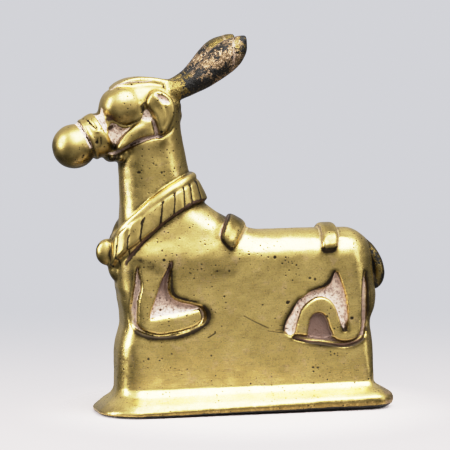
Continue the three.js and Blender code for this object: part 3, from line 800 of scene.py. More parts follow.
def addGarland():
    turn = np.linspace(0, 2 * math.pi, 120, endpoint=False)
    chest, nape, sunk = roundNeck(turn)
    ring = onNeck(turn, garland["ringAt"], 0.5 - 0.1 * chest**4 - 0.3 * nape - sunk)
    thinner = {"thickness": 1 - 0.12 * nape}
    add(treeSolid(bars, ring, True, thinner, {"Thickness": garland["ringThickness"]}), 0.12)
    border = onNeck(turn, garland["borderAt"], 0.4 + 0.2 * chest**8)
    even = {"thickness": np.ones(len(turn))}
    add(treeSolid(bars, border, True, even, {"Thickness": garland["borderThickness"]}), 0.1)
    rise = garland["bandRise"] + 0.2 * chest**8 - sunk
    section = ((0.2, rise - 2), (0.2, rise), (0.55, rise + 0.1), (0.9, rise), (0.9, rise - 2))
    add(loft(np.stack([onNeck(turn, share, height) for share, height in section], 1), closed=True))

    # The leaves' path has as many steps to every leaf, however wide the leaf is
    steps, near = 36, garland["leafEdges"]
    edges = near + [720 - angle for angle in reversed(near[:-1])]
    count = len(edges) - 1
    turn = np.radians(np.interp(np.arange(count * steps) / steps, np.arange(count + 1), edges))
    chest, nape, sunk = roundNeck(turn)
    stand = 0.35 + 0.2 * chest**8 - sunk
    outward = onNeck(turn, 0.6, 1.0 + 0 * turn) - onNeck(turn, 0.6, 0 * turn)
    leafTop, leafFoot = garland["leafReach"]
    downward = onNeck(turn, leafFoot, stand) - onNeck(turn, leafTop, stand)
    add(treeSolid(
        leaves, onNeck(turn, garland["leavesAt"], stand), True,
        {"outward": outward * (1 - 0.1 * nape)[:, None], "downward": downward},
        {
            "Leaf count": count, "Steps": steps, "Gap": garland["gap"], "Slant": garland["slant"],
            "Length": garland["leafLength"] / 0.9, "Thickness": garland["leafThickness"],
            "Squareness": garland["squareness"],
        },
    ))
    chestward = np.array([math.pi])
    bell = onNeck(chestward, garland["bellAt"], np.array([garland["bellOut"]]))[0]
    add(ball(bell, garland["bellRadius"] * np.array([0.95, 0.72, 1.02])), 0.1)
    pendant = onNeck(chestward, 1.04, np.array([0.3]))[0]
    add(ball(pendant, (1.4, 2.0, 2.5), -25), 0.3)


# Straps over the back and the tail

straps = {
    "hump": {"at": 47.6, "lean": 10, "reach": 0.8, "cap": 0.16, "width": 3.7, "rise": 1.05, "slant": 0.08},
    "girth": {"at": 84, "lean": 3.4, "reach": 0.86, "cap": 0.3, "width": 3.4, "rise": 1.0, "slant": 0.0},
}


def shoulderRidge(x):  # height of the ridge from the back up the nape
    line = [(along(rear), upNeck(height)) for height, _, rear, *_ in reversed(neckLevels[4:])]
    line = np.array(line, float)
    return np.maximum(np.interp(x, line[:, 0], line[:, 1]), backHeight)


def strapPlace(x, y, z, ridge, at, lean, width, **_):
    # How far down to the shoulder a place lies, and how far it is from the strap's middle in half widths.
    # A strap leans forward by so many hundredths on the left and a quarter as far back on the right.
    high = np.maximum(ridge - shoulderHeight, 1.0)
    turn = np.arctan2(np.abs(y) / halfBody, np.maximum(z - shoulderHeight, -3) / high) / (math.pi / 2)
    shift = lean * np.clip(turn, 0, 1.2) ** 1.4 * np.where(y < 0, 1, -0.25)
    return turn, (x - along(at - shift)) / (width / 2)


def addStrap(base, strap, ridge):
    # A bar over the back that ends at its share of the way down to the shoulder, cut off at a slant
    at, reach, cap, rise, slant = [strap[name] for name in ("at", "reach", "cap", "rise", "slant")]
    turn, offset = strapPlace(*np.ix_(gridX, gridY, gridZ), ridge, **strap)
    past = np.clip((turn - reach - slant * offset + cap) / cap, 0, 3)
    size = (np.abs(offset) ** 4 + past**3 + (np.maximum(base, 0) / rise) ** 2.4 + 1e-6) ** 0.4
    field = (size - 1) * rise
    window = (np.abs(gridX - float(along(at))) < 9, slice(None), gridZ > shoulderHeight - 4)
    box = np.ix_(np.nonzero(window[0])[0], np.arange(len(gridY)), np.nonzero(window[2])[0])
    casting[box] = lower(casting[box], field[box].astype(np.float32), 0.2)


# The tail lies on the rump: [out from it and radius in thicknesses, share up the body between them]
tail = {"rump": 102.3, "thickness": 2.5, "flatness": 1.5, "path": [
    (-0.9, 93, 0.3), (-0.05, 86, 0.42), (0.5, 78, 0.5), (0.72, 70, 0.52), (0.6, 64, 0.48), (0.3, 60, 0.3),
]}


def pathSolid(points, flat=1.0, sides=32, steps=60):  # a bar in the XZ plane: [x, y, z, radius]
    path = smoothPath(points, steps)
    centre, radius = path[:, :3], path[:, 3]
    tangent = np.gradient(centre, axis=0)
    tangent /= np.linalg.norm(tangent, axis=1, keepdims=True)
    across = np.cross((0, 1, 0), tangent)
    across /= np.linalg.norm(across, axis=1, keepdims=True)
    sideways = np.cross(tangent, across)
    turn = np.linspace(0, 2 * math.pi, sides, endpoint=False)[None, :, None]
    rings = centre[:, None] + radius[:, None, None] * (
        across[:, None] * np.cos(turn) + flat * sideways[:, None] * np.sin(turn))
    return loft(rings)


def tailSolid():
    rump, thick = float(along(tail["rump"])), tail["thickness"]
    return pathSolid([
        (rump + (out - 0.1) * thick, 0, float(upBody(share)), radius * thick)
        for out, share, radius in tail["path"]
    ], flat=tail["flatness"])


# Horns: [along, out to the side, up, radius] in hundredths of their length, from the root.
# The far one is a little fuller.

horn = {"length": 18.5, "root": (25 * headPart, 4 * headPart), "fuller": 0.09, "path": [
    (0, 8.5, 0, 11.5), (14, 10, -2.6, 11), (30, 13, -2.2, 11.5), (42.3, 15.5, -0.8, 13),
    (63, 15.8, 4.6, 16), (76.8, 18, 8.8, 16), (87, 20.6, 12.6, 12.6), (94.5, 22.4, 16.6, 7.2),
    (100, 23, 19.4, 1),
]}


def hornLine(steps, fuller=0.0):  # centre line and radius in millimetres, in the shared frame
    path = smoothPath(horn["path"], steps)
    path[:, 2] += 14 * fuller * smoothStep(path[:, 0], 20, 70)
    path *= horn["length"] / 100
    path[:, 3] *= 1 + fuller
    x, z = horn["root"][0] + path[:, 0], horn["root"][1] + path[:, 2]
    turned = np.stack([tiltCos * x - tiltSin * z, -path[:, 1], tiltSin * x + tiltCos * z], -1)
    return turned + head["centre"], path[:, 3]


def hornSolid(fuller=0.0):
    line, radius = hornLine(60, fuller)
    return treeSolid(bars, line, False, {"thickness": radius}, {"Thickness": 1.0})


# Casting

add(slabSolid())
add(neckSolid(), 2.0)
flankDepth, flankPink, flankRed, flankDark, flankLine = flankMaps()
flankSide = smoothStep(np.abs(gridY), 3.5, 5.0)[None, :, None].astype(np.float32)
swellings = [(-9.5, 31.5, 5, 5, 0.3), (18.6, 30, 4.5, 6, 0.4)]  # middle, sizes along and up, and rise
for middleX, middleZ, sizeX, sizeZ, rise in swellings:
    far = ((gridX[:, None] - middleX) / sizeX) ** 2 + ((gridZ[None, :] - middleZ) / sizeZ) ** 2
    casting -= (rise * np.exp(-far)).astype(np.float32)[:, None, :] * flankSide
casting += flankDepth[:, None, :] * flankSide
body = casting.copy()
print("body cast")

addStrap(body, straps["hump"], shoulderRidge(gridX)[:, None, None])
addStrap(body, straps["girth"], backHeight)
add(tailSolid(), 0.4)
addGarland()
print("garland, straps and tail cast")

# Balls on the head: centre and size in hundredths of its length, and fillet in millimetres
headBalls = {
    "nearEye": {"centre": (-9.2, -4, 10), "size": (15.4, 16.6, 14), "square": 2.5, "fillet": 0.8},
    "farEye": {"centre": (-5.6, 4, 8.4), "size": (13.5, 17, 13.5), "fillet": 0.8},
    "chin": {"centre": (-30, 0, -19.5), "size": (6.5, 10, 6.5), "fillet": 0.5},
    "throat": {"centre": (-22.5, 0, -23), "size": (9, 11, 7), "turn": 25, "fillet": 0.5},
    "firstLump": {"centre": (-32, -8.5, -21.5), "size": (2.8, 3.5, 2.6), "fillet": 0.25, "paired": True},
    "secondLump": {"centre": (-27, -8.5, -24), "size": (2.8, 3.5, 2.6), "fillet": 0.25, "paired": True},
    "thirdLump": {"centre": (-22, -8.5, -22.5), "size": (2.8, 3.5, 2.6), "fillet": 0.25, "paired": True},
    "nape": {"centre": (24.5, 0, -14), "size": (6.5, 8, 7), "fillet": 0.4},
    "knob": {"centre": (-34.8, -16, 1.6), "size": (1.4,) * 3, "fillet": 0.1, "sides": 20, "paired": True},
}


def addBalls(*names):
    for name in names:
        form = dict(headBalls[name])
        fillet, paired = form.pop("fillet"), form.pop("paired", False)
        solid = onHead(ball(**form))
        add(solid, fillet)
        if paired:
            add(mirrored(solid), fillet)


add(onHead(skull()), 0.8)
add(onHead(nose()), 0.3)
add(onHead(bands()), 0.15)
addBalls("nearEye", "farEye")
addPlate(**plates["jaw"])
addPlate(**plates["ear"])
add(onHead(strip()), 0.12)
addBalls("chin", "throat", "firstLump", "secondLump", "thirdLump", "nape")
headDepth = headMap()
headSide = smoothStep(np.abs(gridY), 2.2, 3.2)[None, :, None].astype(np.float32)
casting[headSlices] += headDepth[:, None, :] * headSide
addBalls("knob")
add(hornSolid(), 0.7)
add(mirrored(hornSolid(horn["fuller"])), 0.7)
print("head cast")


# Hand finish: the surface is a little uneven everywhere, and sharp edges are worn

def unevenness(points, seed, wavelength, count=14):
    rng = np.random.default_rng(seed)
    total = np.zeros(len(points))
    for _ in range(count):
        direction = rng.normal(size=3)
        direction *= 2 * math.pi / (wavelength * rng.uniform(0.7, 1.6)) / np.linalg.norm(direction)
        total += np.cos(points @ direction + rng.uniform(0, 2 * math.pi))
    return total / math.sqrt(count)


def softened(field):
    for axis in range(3):
        field = 0.5 * field + 0.25 * (np.roll(field, 1, axis) + np.roll(field, -1, axis))
    return field


waves = [(0.05, 3, 9.0), (0.02, 4, 2.5)]  # rise, seed and wavelength
casting = softened(casting)
band = np.abs(casting) < 1.2
spots = np.argwhere(band) * voxel
uneven = sum(rise * unevenness(spots, seed, length) for rise, seed, length in waves)
casting[band] += uneven.astype(np.float32)
floorLevel = (-gridZ)[None, None, :].astype(np.float32)
casting = np.maximum(casting, floorLevel)


def castingMesh():
    level = openvdb.FloatGrid()
    level.copyFromArray(np.ascontiguousarray(casting / voxel))
    points, quads = level.convertToQuads(isovalue=0.0)
    points = points * voxel + volume["low"]
    mesh = bpy.data.meshes.new("bullCasting")
    mesh.vertices.add(len(points))
    mesh.vertices.foreach_set("co", (points * mm).astype(np.float32).ravel())
    mesh.loops.add(len(quads) * 4)
    mesh.loops.foreach_set("vertex_index", quads.astype(np.int32).ravel())
    mesh.polygons.add(len(quads))
    mesh.polygons.foreach_set("loop_start", np.arange(len(quads), dtype=np.int32) * 4)
    mesh.update(calc_edges=True)
    mesh.validate()
    return mesh


rough = castingMesh()
print("meshed", len(rough.polygons), "quads")
bull = bpy.data.objects.new("bullCasting", rough)
bpy.context.collection.objects.link(bull)
thin = bull.modifiers.new("thin", "DECIMATE")
thin.ratio = min(1.0, volume["triangles"] / (2 * len(rough.polygons)))
finished = bpy.data.meshes.new_from_object(bull.evaluated_get(bpy.context.evaluated_depsgraph_get()))
bull.modifiers.clear()
bull.data = finished
finished.name = "bullCasting"
finished.shade_smooth()
print("thinned to", len(finished.polygons), "faces")


# Wear maps on the finished mesh, with painted shade, painted shadow and a painted highlight

# Grime also paints shadow, residue also paints a highlight on a horn, and shade is painted shade
wearAndPaintedLight = {  # strengths, by what they lie on
    "grimeAndShadow": {
        "hollows": 0.6, "crevices": 0.85, "creases": 0.62, "shadowsAndStains": 0.95, "outlines": 0.55, "floors": 0.5,
        "headHollows": 0.8, "border": 0.9, "shadowUnderBorder": 0.8, "leafEdges": 0.95, "upperSeam": 0.75,
        "lowerSeam": 0.6,
    },
    "residueAndHighlight": {"lines": 0.55, "bandLine": 0.6, "straps": 0.34, "hornTipHighlight": 0.85},
    "red": {"lines": 0.7, "border": 0.6, "headHollows": 0.5, "straps": 0.65},
    "shade": {
        "hollows": 0.85, "wideHollows": 0.8, "undersides": 0.9, "rim": 0.45, "leaves": 0.35, "tail": 0.95,
        "rearEnd": 0.5, "verdigris": 0.85,
    },
    # Soft patches on the head: strength, middle and sizes [along, up] in hundredths of its length
    "headCorners": [(0.9, -22.5, 6, 5, 3.5), (0.9, -24.3, -0.5, 4, 2.6)],
    "headGrime": [(0.65, -30, -22, 10, 5), (0.6, -46, -12, 4, 7)],
    "headShade": [(0.8, -30, -21, 12, 7), (0.55, -46, -8, 7, 9), (0.8, 3, -27, 9, 5), (0.55, -8, -12, 13, 5)],
}


def vertexData():
    n = len(finished.vertices)
    place, normal = np.empty(n * 3, np.float32), np.empty(n * 3, np.float32)
    finished.vertices.foreach_get("co", place)
    finished.vertices.foreach_get("normal", normal)
    return place.reshape(-1, 3) / mm, normal.reshape(-1, 3)


def sampleVolume(field, points):  # trilinear
    spot = (points - volume["low"]) / voxel
    spot = np.clip(spot, 0, np.array(field.shape) - 1.001)
    base = spot.astype(int)
    part = spot - base
    total = 0
    for corner in np.ndindex(2, 2, 2):
        weight = np.prod(np.where(corner, part, 1 - part), axis=1)
        total = total + weight * field[tuple((base + corner).T)]
    return total


def sampleMap(values, across, up):  # bilinear, across and up in grid steps
    across = np.clip(across, 0, values.shape[0] - 1.001)
    up = np.clip(up, 0, values.shape[1] - 1.001)
    i, j = across.astype(int), up.astype(int)
    a, b = across - i, up - j
    return ((1 - a) * (1 - b) * values[i, j] + a * (1 - b) * values[i + 1, j]
            + (1 - a) * b * values[i, j + 1] + a * b * values[i + 1, j + 1])


place, normal = vertexData()
x, y, z = place.T


def hollowness(reach):  # 0 on an open face, 1 deep in a crevice, felt this far out
    return 1 - sampleVolume(casting, place + normal * reach) / reach


feelers = ((0.35, 0.4), (0.8, 0.35), (1.6, 0.25))  # reach and weight
hollow = np.clip(sum(weight * hollowness(reach) for reach, weight in feelers), 0, 1)
tightHollow = np.clip(hollowness(0.3), 0, 1)
wideHollow = np.clip(hollowness(2.1), 0, 1)
sharp = 1 - np.clip(-sampleVolume(casting, place - normal * 0.7) / 0.7, 0, 1)

acrossGrid = (x - volume["low"][0]) / voxel
upGrid = (z - volume["low"][2]) / voxel
onFlank = smoothStep(np.abs(y), 3.6, 4.6) * (z < 34)
pink = sampleMap(flankPink, acrossGrid, upGrid) * onFlank
dark = sampleMap(flankDark, acrossGrid, upGrid) * onFlank
red = sampleMap(flankRed, acrossGrid, upGrid) * onFlank
outlined = sampleMap(flankLine, acrossGrid, upGrid) * onFlank


def stroked(across, up, stroke, soft):  # 1 on a stroke, fading out beside it
    return smoothStep(-strokeEdge(across, up, stroke), -soft, 0.2)


alongBody = (x - chestX) * 100 / slab["bodyLength"]
upOnBody = (z - slab["plinthHeight"]) * 100 / (backHeight - slab["plinthHeight"])
# Painted shadow beside the carving, and the two stains: wide and soft for the shade, narrow for the grime
shadowAndStain, shadowAndStainCore = np.zeros(len(x)), np.zeros(len(x))
for strength, stroke in shadowsAndStains.values():
    shadowAndStain = np.maximum(shadowAndStain, strength * stroked(alongBody, upOnBody, stroke, 3.0))
    shadowAndStainCore = np.maximum(shadowAndStainCore, strength * stroked(alongBody, upOnBody, stroke, 0.8))
outer = smoothStep(np.abs(y), 4.4, 5.4)
shadowAndStain, shadowAndStainCore = shadowAndStain * outer, shadowAndStainCore * outer

headU, headV = headShares(x, z)
onHeadSide = (z > head["foot"]) & (np.abs(y) > 1.5)


def headStroke(names, soft):
    best = np.zeros(len(x))
    for name in names:
        best = np.maximum(best, stroked(headU, headV, headLines[name][1], soft))
    return best * onHeadSide


def headPatches(kind):
    return np.maximum.reduce([
        strength * np.exp(-(((headU - u) / sizeU) ** 2 + ((headV - v) / sizeV) ** 2) * 1.2) * onHeadSide
        for strength, u, v, sizeU, sizeV in wearAndPaintedLight[kind]
    ])


darkLines = np.maximum(
    headStroke(["bandDash", "shortFirst", "shortSecond"], 0.4),
    wearAndPaintedLight["grimeAndShadow"]["creases"] * headStroke(["eyeCrease", "earEye", "earFoot"], 0.5),
)
redLines = headStroke(["underJaw", "jawEar", "stripLine"], 0.6)

# Pinkish residue: muzzle gaps, cheek, ear hollow and the legs' recesses
muzzleGap = plateau(headU, -46.2, -44.6, -43.4, -42.2) * smoothStep(headV, -10, -4)
lean = 14 - headV
bandEnd = plateau(headU, -30.4, -28.8, -25 - 0.3 * lean, -22.5 - 0.25 * lean)
residueAndHighlight = np.maximum.reduce([
    pink,
    muzzleGap * (z > head["foot"]),
    bandEnd * plateau(headV, -3, 2, 14, 15.5) * onHeadSide,
    wearAndPaintedLight["residueAndHighlight"]["lines"] * redLines,
    wearAndPaintedLight["residueAndHighlight"]["bandLine"] * headStroke(["bandLine"], 0.6),
])
residueAndHighlight *= 1 - 0.85 * shadowAndStain
headDark = headPatches("headCorners")
for dip in headHollows.values():
    inward, _ = outlineEdge(headU, headV, dip["outline"])
    inside = smoothStep(-inward / dip["wall"], -0.1, 0.5) * onHeadSide
    residueAndHighlight = np.maximum(residueAndHighlight, dip["pink"] * inside)
    headDark = np.maximum(headDark, dip["dark"] * inside)

# The garland: dark lines between its leaves and along its rings, and painted shadow under its border
garlandForward = np.clip((x - garland["axis"]) / garland["neckRadius"], -1, 1)
garlandShare = (garlandTop(garlandForward) - z) / garlandDepth(garlandForward)
onGarland = (z < 48) & (z > 25) & (x < -5)
leafTurn = np.degrees(np.arctan2(
    -np.abs(y) / garland["halfWidth"], (x - garland["axis"]) / garland["halfLength"])) % 360
leafPlace = np.interp(leafTurn, garland["leafEdges"], np.arange(len(garland["leafEdges"])))
leafDown = (garlandShare - garland["leavesAt"]) / (garland["leafReach"][1] - garland["leafReach"][0])
toEdge = leafPlace - garland["slant"] * leafDown
leafWidth = np.interp(leafTurn, [180, 243, 269, 300, 345], [2.2, 2.9, 3.3, 2.2, 2.2])
fromEdge = np.abs(toEdge - np.round(toEdge)) * leafWidth - 0.16 * smoothStep(-leafDown, 0.28, 0.5)
leafLine = smoothStep(-fromEdge, -0.3, -0.1) * smoothStep(-np.abs(leafDown), -0.56, -0.48)
behindBell = smoothStep(x, -25.4, -24.4)
seams = np.maximum.reduce([
    wearAndPaintedLight["grimeAndShadow"][name] * np.exp(-((garlandShare - share) / 0.014) ** 2)
    for name, share in (("upperSeam", 0.325), ("lowerSeam", 0.895))
]) * behindBell
onBorder = plateau(garlandShare, 0.88, 0.91, 0.98, 1.02) * onGarland * behindBell
# Painted shadow just under the garland's border
shadowBelowBorder = plateau(garlandShare, 0.98, 1.0, 1.05, 1.12) * onGarland * behindBell

grimeShadowStrengths = wearAndPaintedLight["grimeAndShadow"]
# Grime and patina in hollows, crevices, carved lines and the garland, with painted shadow under the carved
# legs and under the garland's border
grimeAndShadow = np.clip(np.maximum.reduce([
    grimeShadowStrengths["hollows"] * smoothStep(hollow, 0.3, 0.7),
    grimeShadowStrengths["crevices"] * smoothStep(tightHollow, 0.2, 0.5),
    darkLines,
    grimeShadowStrengths["shadowsAndStains"] * shadowAndStainCore,
    grimeShadowStrengths["outlines"] * outlined,
    grimeShadowStrengths["floors"] * dark,
    grimeShadowStrengths["headHollows"] * headDark,
    grimeShadowStrengths["border"] * onBorder,
    grimeShadowStrengths["shadowUnderBorder"] * shadowBelowBorder * smoothStep(-x, 8, 10),
    grimeShadowStrengths["leafEdges"] * leafLine * onGarland,
    seams * onGarland,
    headPatches("headGrime"),
]), 0, 1)
besideStraps = np.zeros(len(x))
for name, ridge in (("hump", shoulderRidge(x)), ("girth", backHeight)):
    strap = straps[name]
    turn, offset = strapPlace(x, y, z, ridge, **strap)
    beside = plateau(np.abs(offset), 0.7, 0.95, 1.15, 1.4)
    above = smoothStep(-turn, -strap["reach"], 0.15 - strap["reach"])
    besideStraps = np.maximum(besideStraps, beside * above)
besideStraps *= (z > shoulderHeight - 2) & (x > -8)
residueAndHighlight = np.maximum(residueAndHighlight, wearAndPaintedLight["residueAndHighlight"]["straps"] * besideStraps)
reddened = wearAndPaintedLight["red"]
redness = np.clip(np.maximum.reduce([
    red,
    reddened["lines"] * redLines,
    reddened["border"] * onBorder,
    reddened["headHollows"] * headDark,
    reddened["straps"] * besideStraps,
]), 0, 1)
# Painted shade on the far side of the garland, seen past the chest
farGarlandShade = smoothStep(y, 0.5, 2) * smoothStep(-x, 22, 24) * smoothStep(z, 33, 35) * (z < 46)
shaded = wearAndPaintedLight["shade"]
# Painted shade: in hollows, under overhangs and on faces turned down, on the rim's side, in patches on the
# head, on the far side of the garland and beside the carving; it also darkens the garland's leaves
shade = np.clip(np.maximum.reduce([
    shadowAndStain,
    shaded["hollows"] * smoothStep(hollow, 0.08, 0.4),
    shaded["wideHollows"] * smoothStep(wideHollow, 0.12, 0.55),
    shaded["undersides"] * smoothStep(-normal[:, 2], 0.0, 0.7),
    shaded["rim"] * smoothStep(-z, -2.9, -1.6),
    headPatches("headShade"),
    farGarlandShade,
    shaded["leaves"] * onGarland * plateau(garlandShare, 0.3, 0.9, 0.9, 1.2),
]), 0, 1)

# Horns: how far along them each place lies, and how far round towards their lower side
line, radius = hornLine(60)
line[:, 1] = -np.abs(line[:, 1])
folded = np.stack([x, -np.abs(y), z], -1)
chosen = np.nonzero((z > 58) & (x > float(line[:, 0].min()) - 2))[0]
gaps = np.linalg.norm(folded[chosen][:, None] - line[None, ::2], axis=2)
nearest = gaps.argmin(1) * 2
onHorn = gaps.min(1) < 4.2
under = (line[nearest, 2] - folded[chosen, 2]) / np.maximum(radius[nearest], 0.5)
hornShare, below = np.zeros(len(x)), np.zeros(len(x))
hornShare[chosen] = np.where(onHorn, nearest / (len(line) - 1), 0)
below[chosen] = np.clip(np.where(onHorn, under, 0), -1, 1)
near = np.where(y > 0.3, smoothStep(-hornShare, -0.62, -0.5), 1.0)
tipHighlightStroke = [(0.5, 70.9, 0.6), (2.4, 72, 0.9), (4.3, 73.1, 0.6)]  # x, z and half width of a painted highlight near the near horn's tip
# Painted highlight on the near horn's upper side near its tip: pale, with less soot, tan and shade
tipHighlight = smoothStep(-strokeEdge(x, z, tipHighlightStroke), -0.4, 0.2) * (y < -1)
# Painted light on the horn's lower side near the tip: less soot and shade there
litUnderTip = smoothStep(below, 0.45, 0.9) * smoothStep(hornShare, 0.45, 0.65)
residueAndHighlight = np.maximum(residueAndHighlight, wearAndPaintedLight["residueAndHighlight"]["hornTipHighlight"] * tipHighlight)
tan = smoothStep(hornShare, 0.2, 0.32) * (0.8 - 0.35 * smoothStep(hornShare, 0.6, 0.85))
tan *= near * (1 - tipHighlight)
sootAndShadow = smoothStep(hornShare + 0.05 * below, 0.08, 0.2) * (0.7 - 0.19 * smoothStep(hornShare, 0.3, 0.5))
hornRoot = plateau(hornShare, 0.04, 0.1, 0.35, 0.5)
sootAndShadow = (sootAndShadow + 0.1 * below * hornRoot) * (0.45 + 0.55 * near) - 0.22 * litUnderTip - 0.5 * tipHighlight
stipple = smoothStep(hornShare, 0.02, 0.1)
# The horns' own dark tone, lifted where the painted highlight and painted light lie near the tip
hornShade = 0.7 * smoothStep(hornShare, 0, 0.06) + 0.3 * smoothStep(hornShare, 0.1, 0.25)
hornShade *= (1 - 0.9 * tipHighlight) * (1 - 0.4 * litUnderTip) * (0.85 + 0.15 * near)
shade = np.maximum(shade, hornShade)

# Tail, and painted shadow on the foot under the rim
rimLow = mix(slab["frontRim"][0], slab["rearRim"][0], np.clip(x / slab["plinthLength"] + 0.5, 0, 1))
# Painted shadow: the foot under the rim is made black as soot
foot = smoothStep(rimLow + 0.25 - z, 0, 0.1)
tailWindow, tailField = distances(tailSolid())
fromTail = np.full(counts, volume["reach"], np.float32)
fromTail[tailWindow] = tailField
onTail = smoothStep(-sampleVolume(fromTail, place), -0.35, -0.05) * (z < 34)
sootAndShadow = np.maximum.reduce([sootAndShadow, foot * 1.3, 0.5 * onTail])

verdigris = smoothStep(x, 24.4, 25.6) * plateau(z, 3.6, 4.4, 6.4, 8)
rearEnd = smoothStep(x, 25.6, 27.4) * smoothStep(-z, -6, -4)
tan = np.maximum(tan, 0.5 * rearEnd)
# The tail's dark tone is its own soot and verdigris with painted shade; the rear end and the verdigris patch
# are darker in themselves
shade = np.maximum.reduce([
    shade, shaded["tail"] * onTail, shaded["rearEnd"] * rearEnd, shaded["verdigris"] * verdigris,
])

# The body is brighter than the head and the garland
onLeaves = onGarland * smoothStep(garlandShare, -0.03, 0.03) * (garlandShare < 1)
polish = np.where(z > 50.5, 0.0, 1.0) * (1 - 0.75 * onLeaves)

for name, values in {
    "polish": polish, "grimeAndShadow": grimeAndShadow, "residueAndHighlight": residueAndHighlight, "sootAndShadow": sootAndShadow, "tan": tan, "verdigris": verdigris,
    "redness": redness, "stipple": np.maximum(stipple, 0.7 * smoothStep(residueAndHighlight, 0.4, 0.8)), "shade": shade,
    "sharp": sharp,
}.items():
    layer = finished.attributes.new(name, "FLOAT", "POINT")
    layer.data.foreach_set("value", np.asarray(values, np.float32))
print("wear mapped")


# Brass, procedural, in millimetres of Object coordinates

finish = {
    "yellow": (0.80, 0.585, 0.20, 1),
    "olive": (0.62, 0.45, 0.14, 1),
    "speck": (0.26, 0.18, 0.055, 1),
    # shade is painted shade; grime and soot also paint shadow, pink also paints a highlight by a horn's tip,
    # and red also paints shade deep in the recesses
    "shade": (0.11, 0.075, 0.021, 1),
    "dull": (0.37, 0.265, 0.085, 1),
    "grimeAndShadow": (0.022, 0.015, 0.008, 1),
    "pink": (0.78, 0.58, 0.46, 1),
    "red": (0.10, 0.054, 0.038, 1),
    "sootAndShadow": (0.016, 0.015, 0.014, 1),
    "tan": (0.13, 0.08, 0.042, 1),
    "copper": (0.46, 0.31, 0.20, 1),
    "verdigris": (0.17, 0.175, 0.145, 1),
    "blush": (0.86, 0.60, 0.30, 1),
    "roughness": 0.27,
    "dullRoughness": 0.34,
    "pinhole": 0.15,  # radius of the usual ones, in millimetres
    "pit": 0.26,  # and of the few large ones
}

# Pits, nicks and scratches on the left side: x and z of both ends, and half width, in millimetres
marks = [
    (-22.1, 47.5, -21.9, 47.5, 0.26), (-19.4, 49.3, -19.3, 49.2, 0.12), (-18.9, 48.9, -18.8, 48.9, 0.12),
    (12.7, 8.5, 12.8, 8.5, 0.2), (13.7, 8.4, 13.8, 8.4, 0.2), (12, 26.2, 12.1, 26.2, 0.22),
    (13.1, 26, 13.1, 25.9, 0.22), (-6.9, 28.1, -6.8, 28.1, 0.2), (-4.4, 28, -4.4, 28.1, 0.2),
    (-8.6, 15.1, -7.2, 15.9, 0.13), (-1.4, 19.1, 0.8, 17.9, 0.08), (0.8, 17.9, 3.5, 16.6, 0.1),
    (5.9, 17, 7.6, 17.1, 0.07), (5.1, 16.1, 8, 16.2, 0.07), (3.5, 16, 7.6, 15.3, 0.07),
    (19.3, 15.7, 19.3, 15.6, 0.3), (20.7, 18, 20.8, 18, 0.32), (-0.4, 31.2, -0.3, 31.2, 0.18),
]


def markTree():  # 1 near a line between two places, seen from the side
    tree = bpy.data.node_groups.new("mark", "ShaderNodeTree")
    for name in ("Place", "Start", "End"):
        tree.interface.new_socket(name, in_out="INPUT", socket_type="NodeSocketVector")
    tree.interface.new_socket("Half width", in_out="INPUT", socket_type="NodeSocketFloat")
    tree.interface.new_socket("Mask", in_out="OUTPUT", socket_type="NodeSocketFloat")
    given = tree.nodes.new("NodeGroupInput").outputs

    def vector(operation, a, b, output=0):
        return vectorNode(tree, operation, {0: a, 1: b}, output)

    offset = vector("SUBTRACT", given["Place"], given["Start"])
    stroke = vector("SUBTRACT", given["End"], given["Start"])
    lengthSquared = vector("DOT_PRODUCT", stroke, stroke, "Value")
    travel = mathNode(
        tree, "DIVIDE", vector("DOT_PRODUCT", offset, stroke, "Value"), lengthSquared, use_clamp=True)
    nearest = vectorNode(tree, "SCALE", {0: stroke, "Scale": travel})
    gap = vector("LENGTH", vector("SUBTRACT", offset, nearest), (0, 0, 0), "Value")
    inside = mathNode(tree, "SUBTRACT", given["Half width"], gap)
    mask = addNode(tree, "ShaderNodeMapRange", {"Value": inside, "From Min": -0.12, "From Max": 0.06})
    tree.links.new(mask.outputs[0], tree.nodes.new("NodeGroupOutput").inputs[0])
    return tree


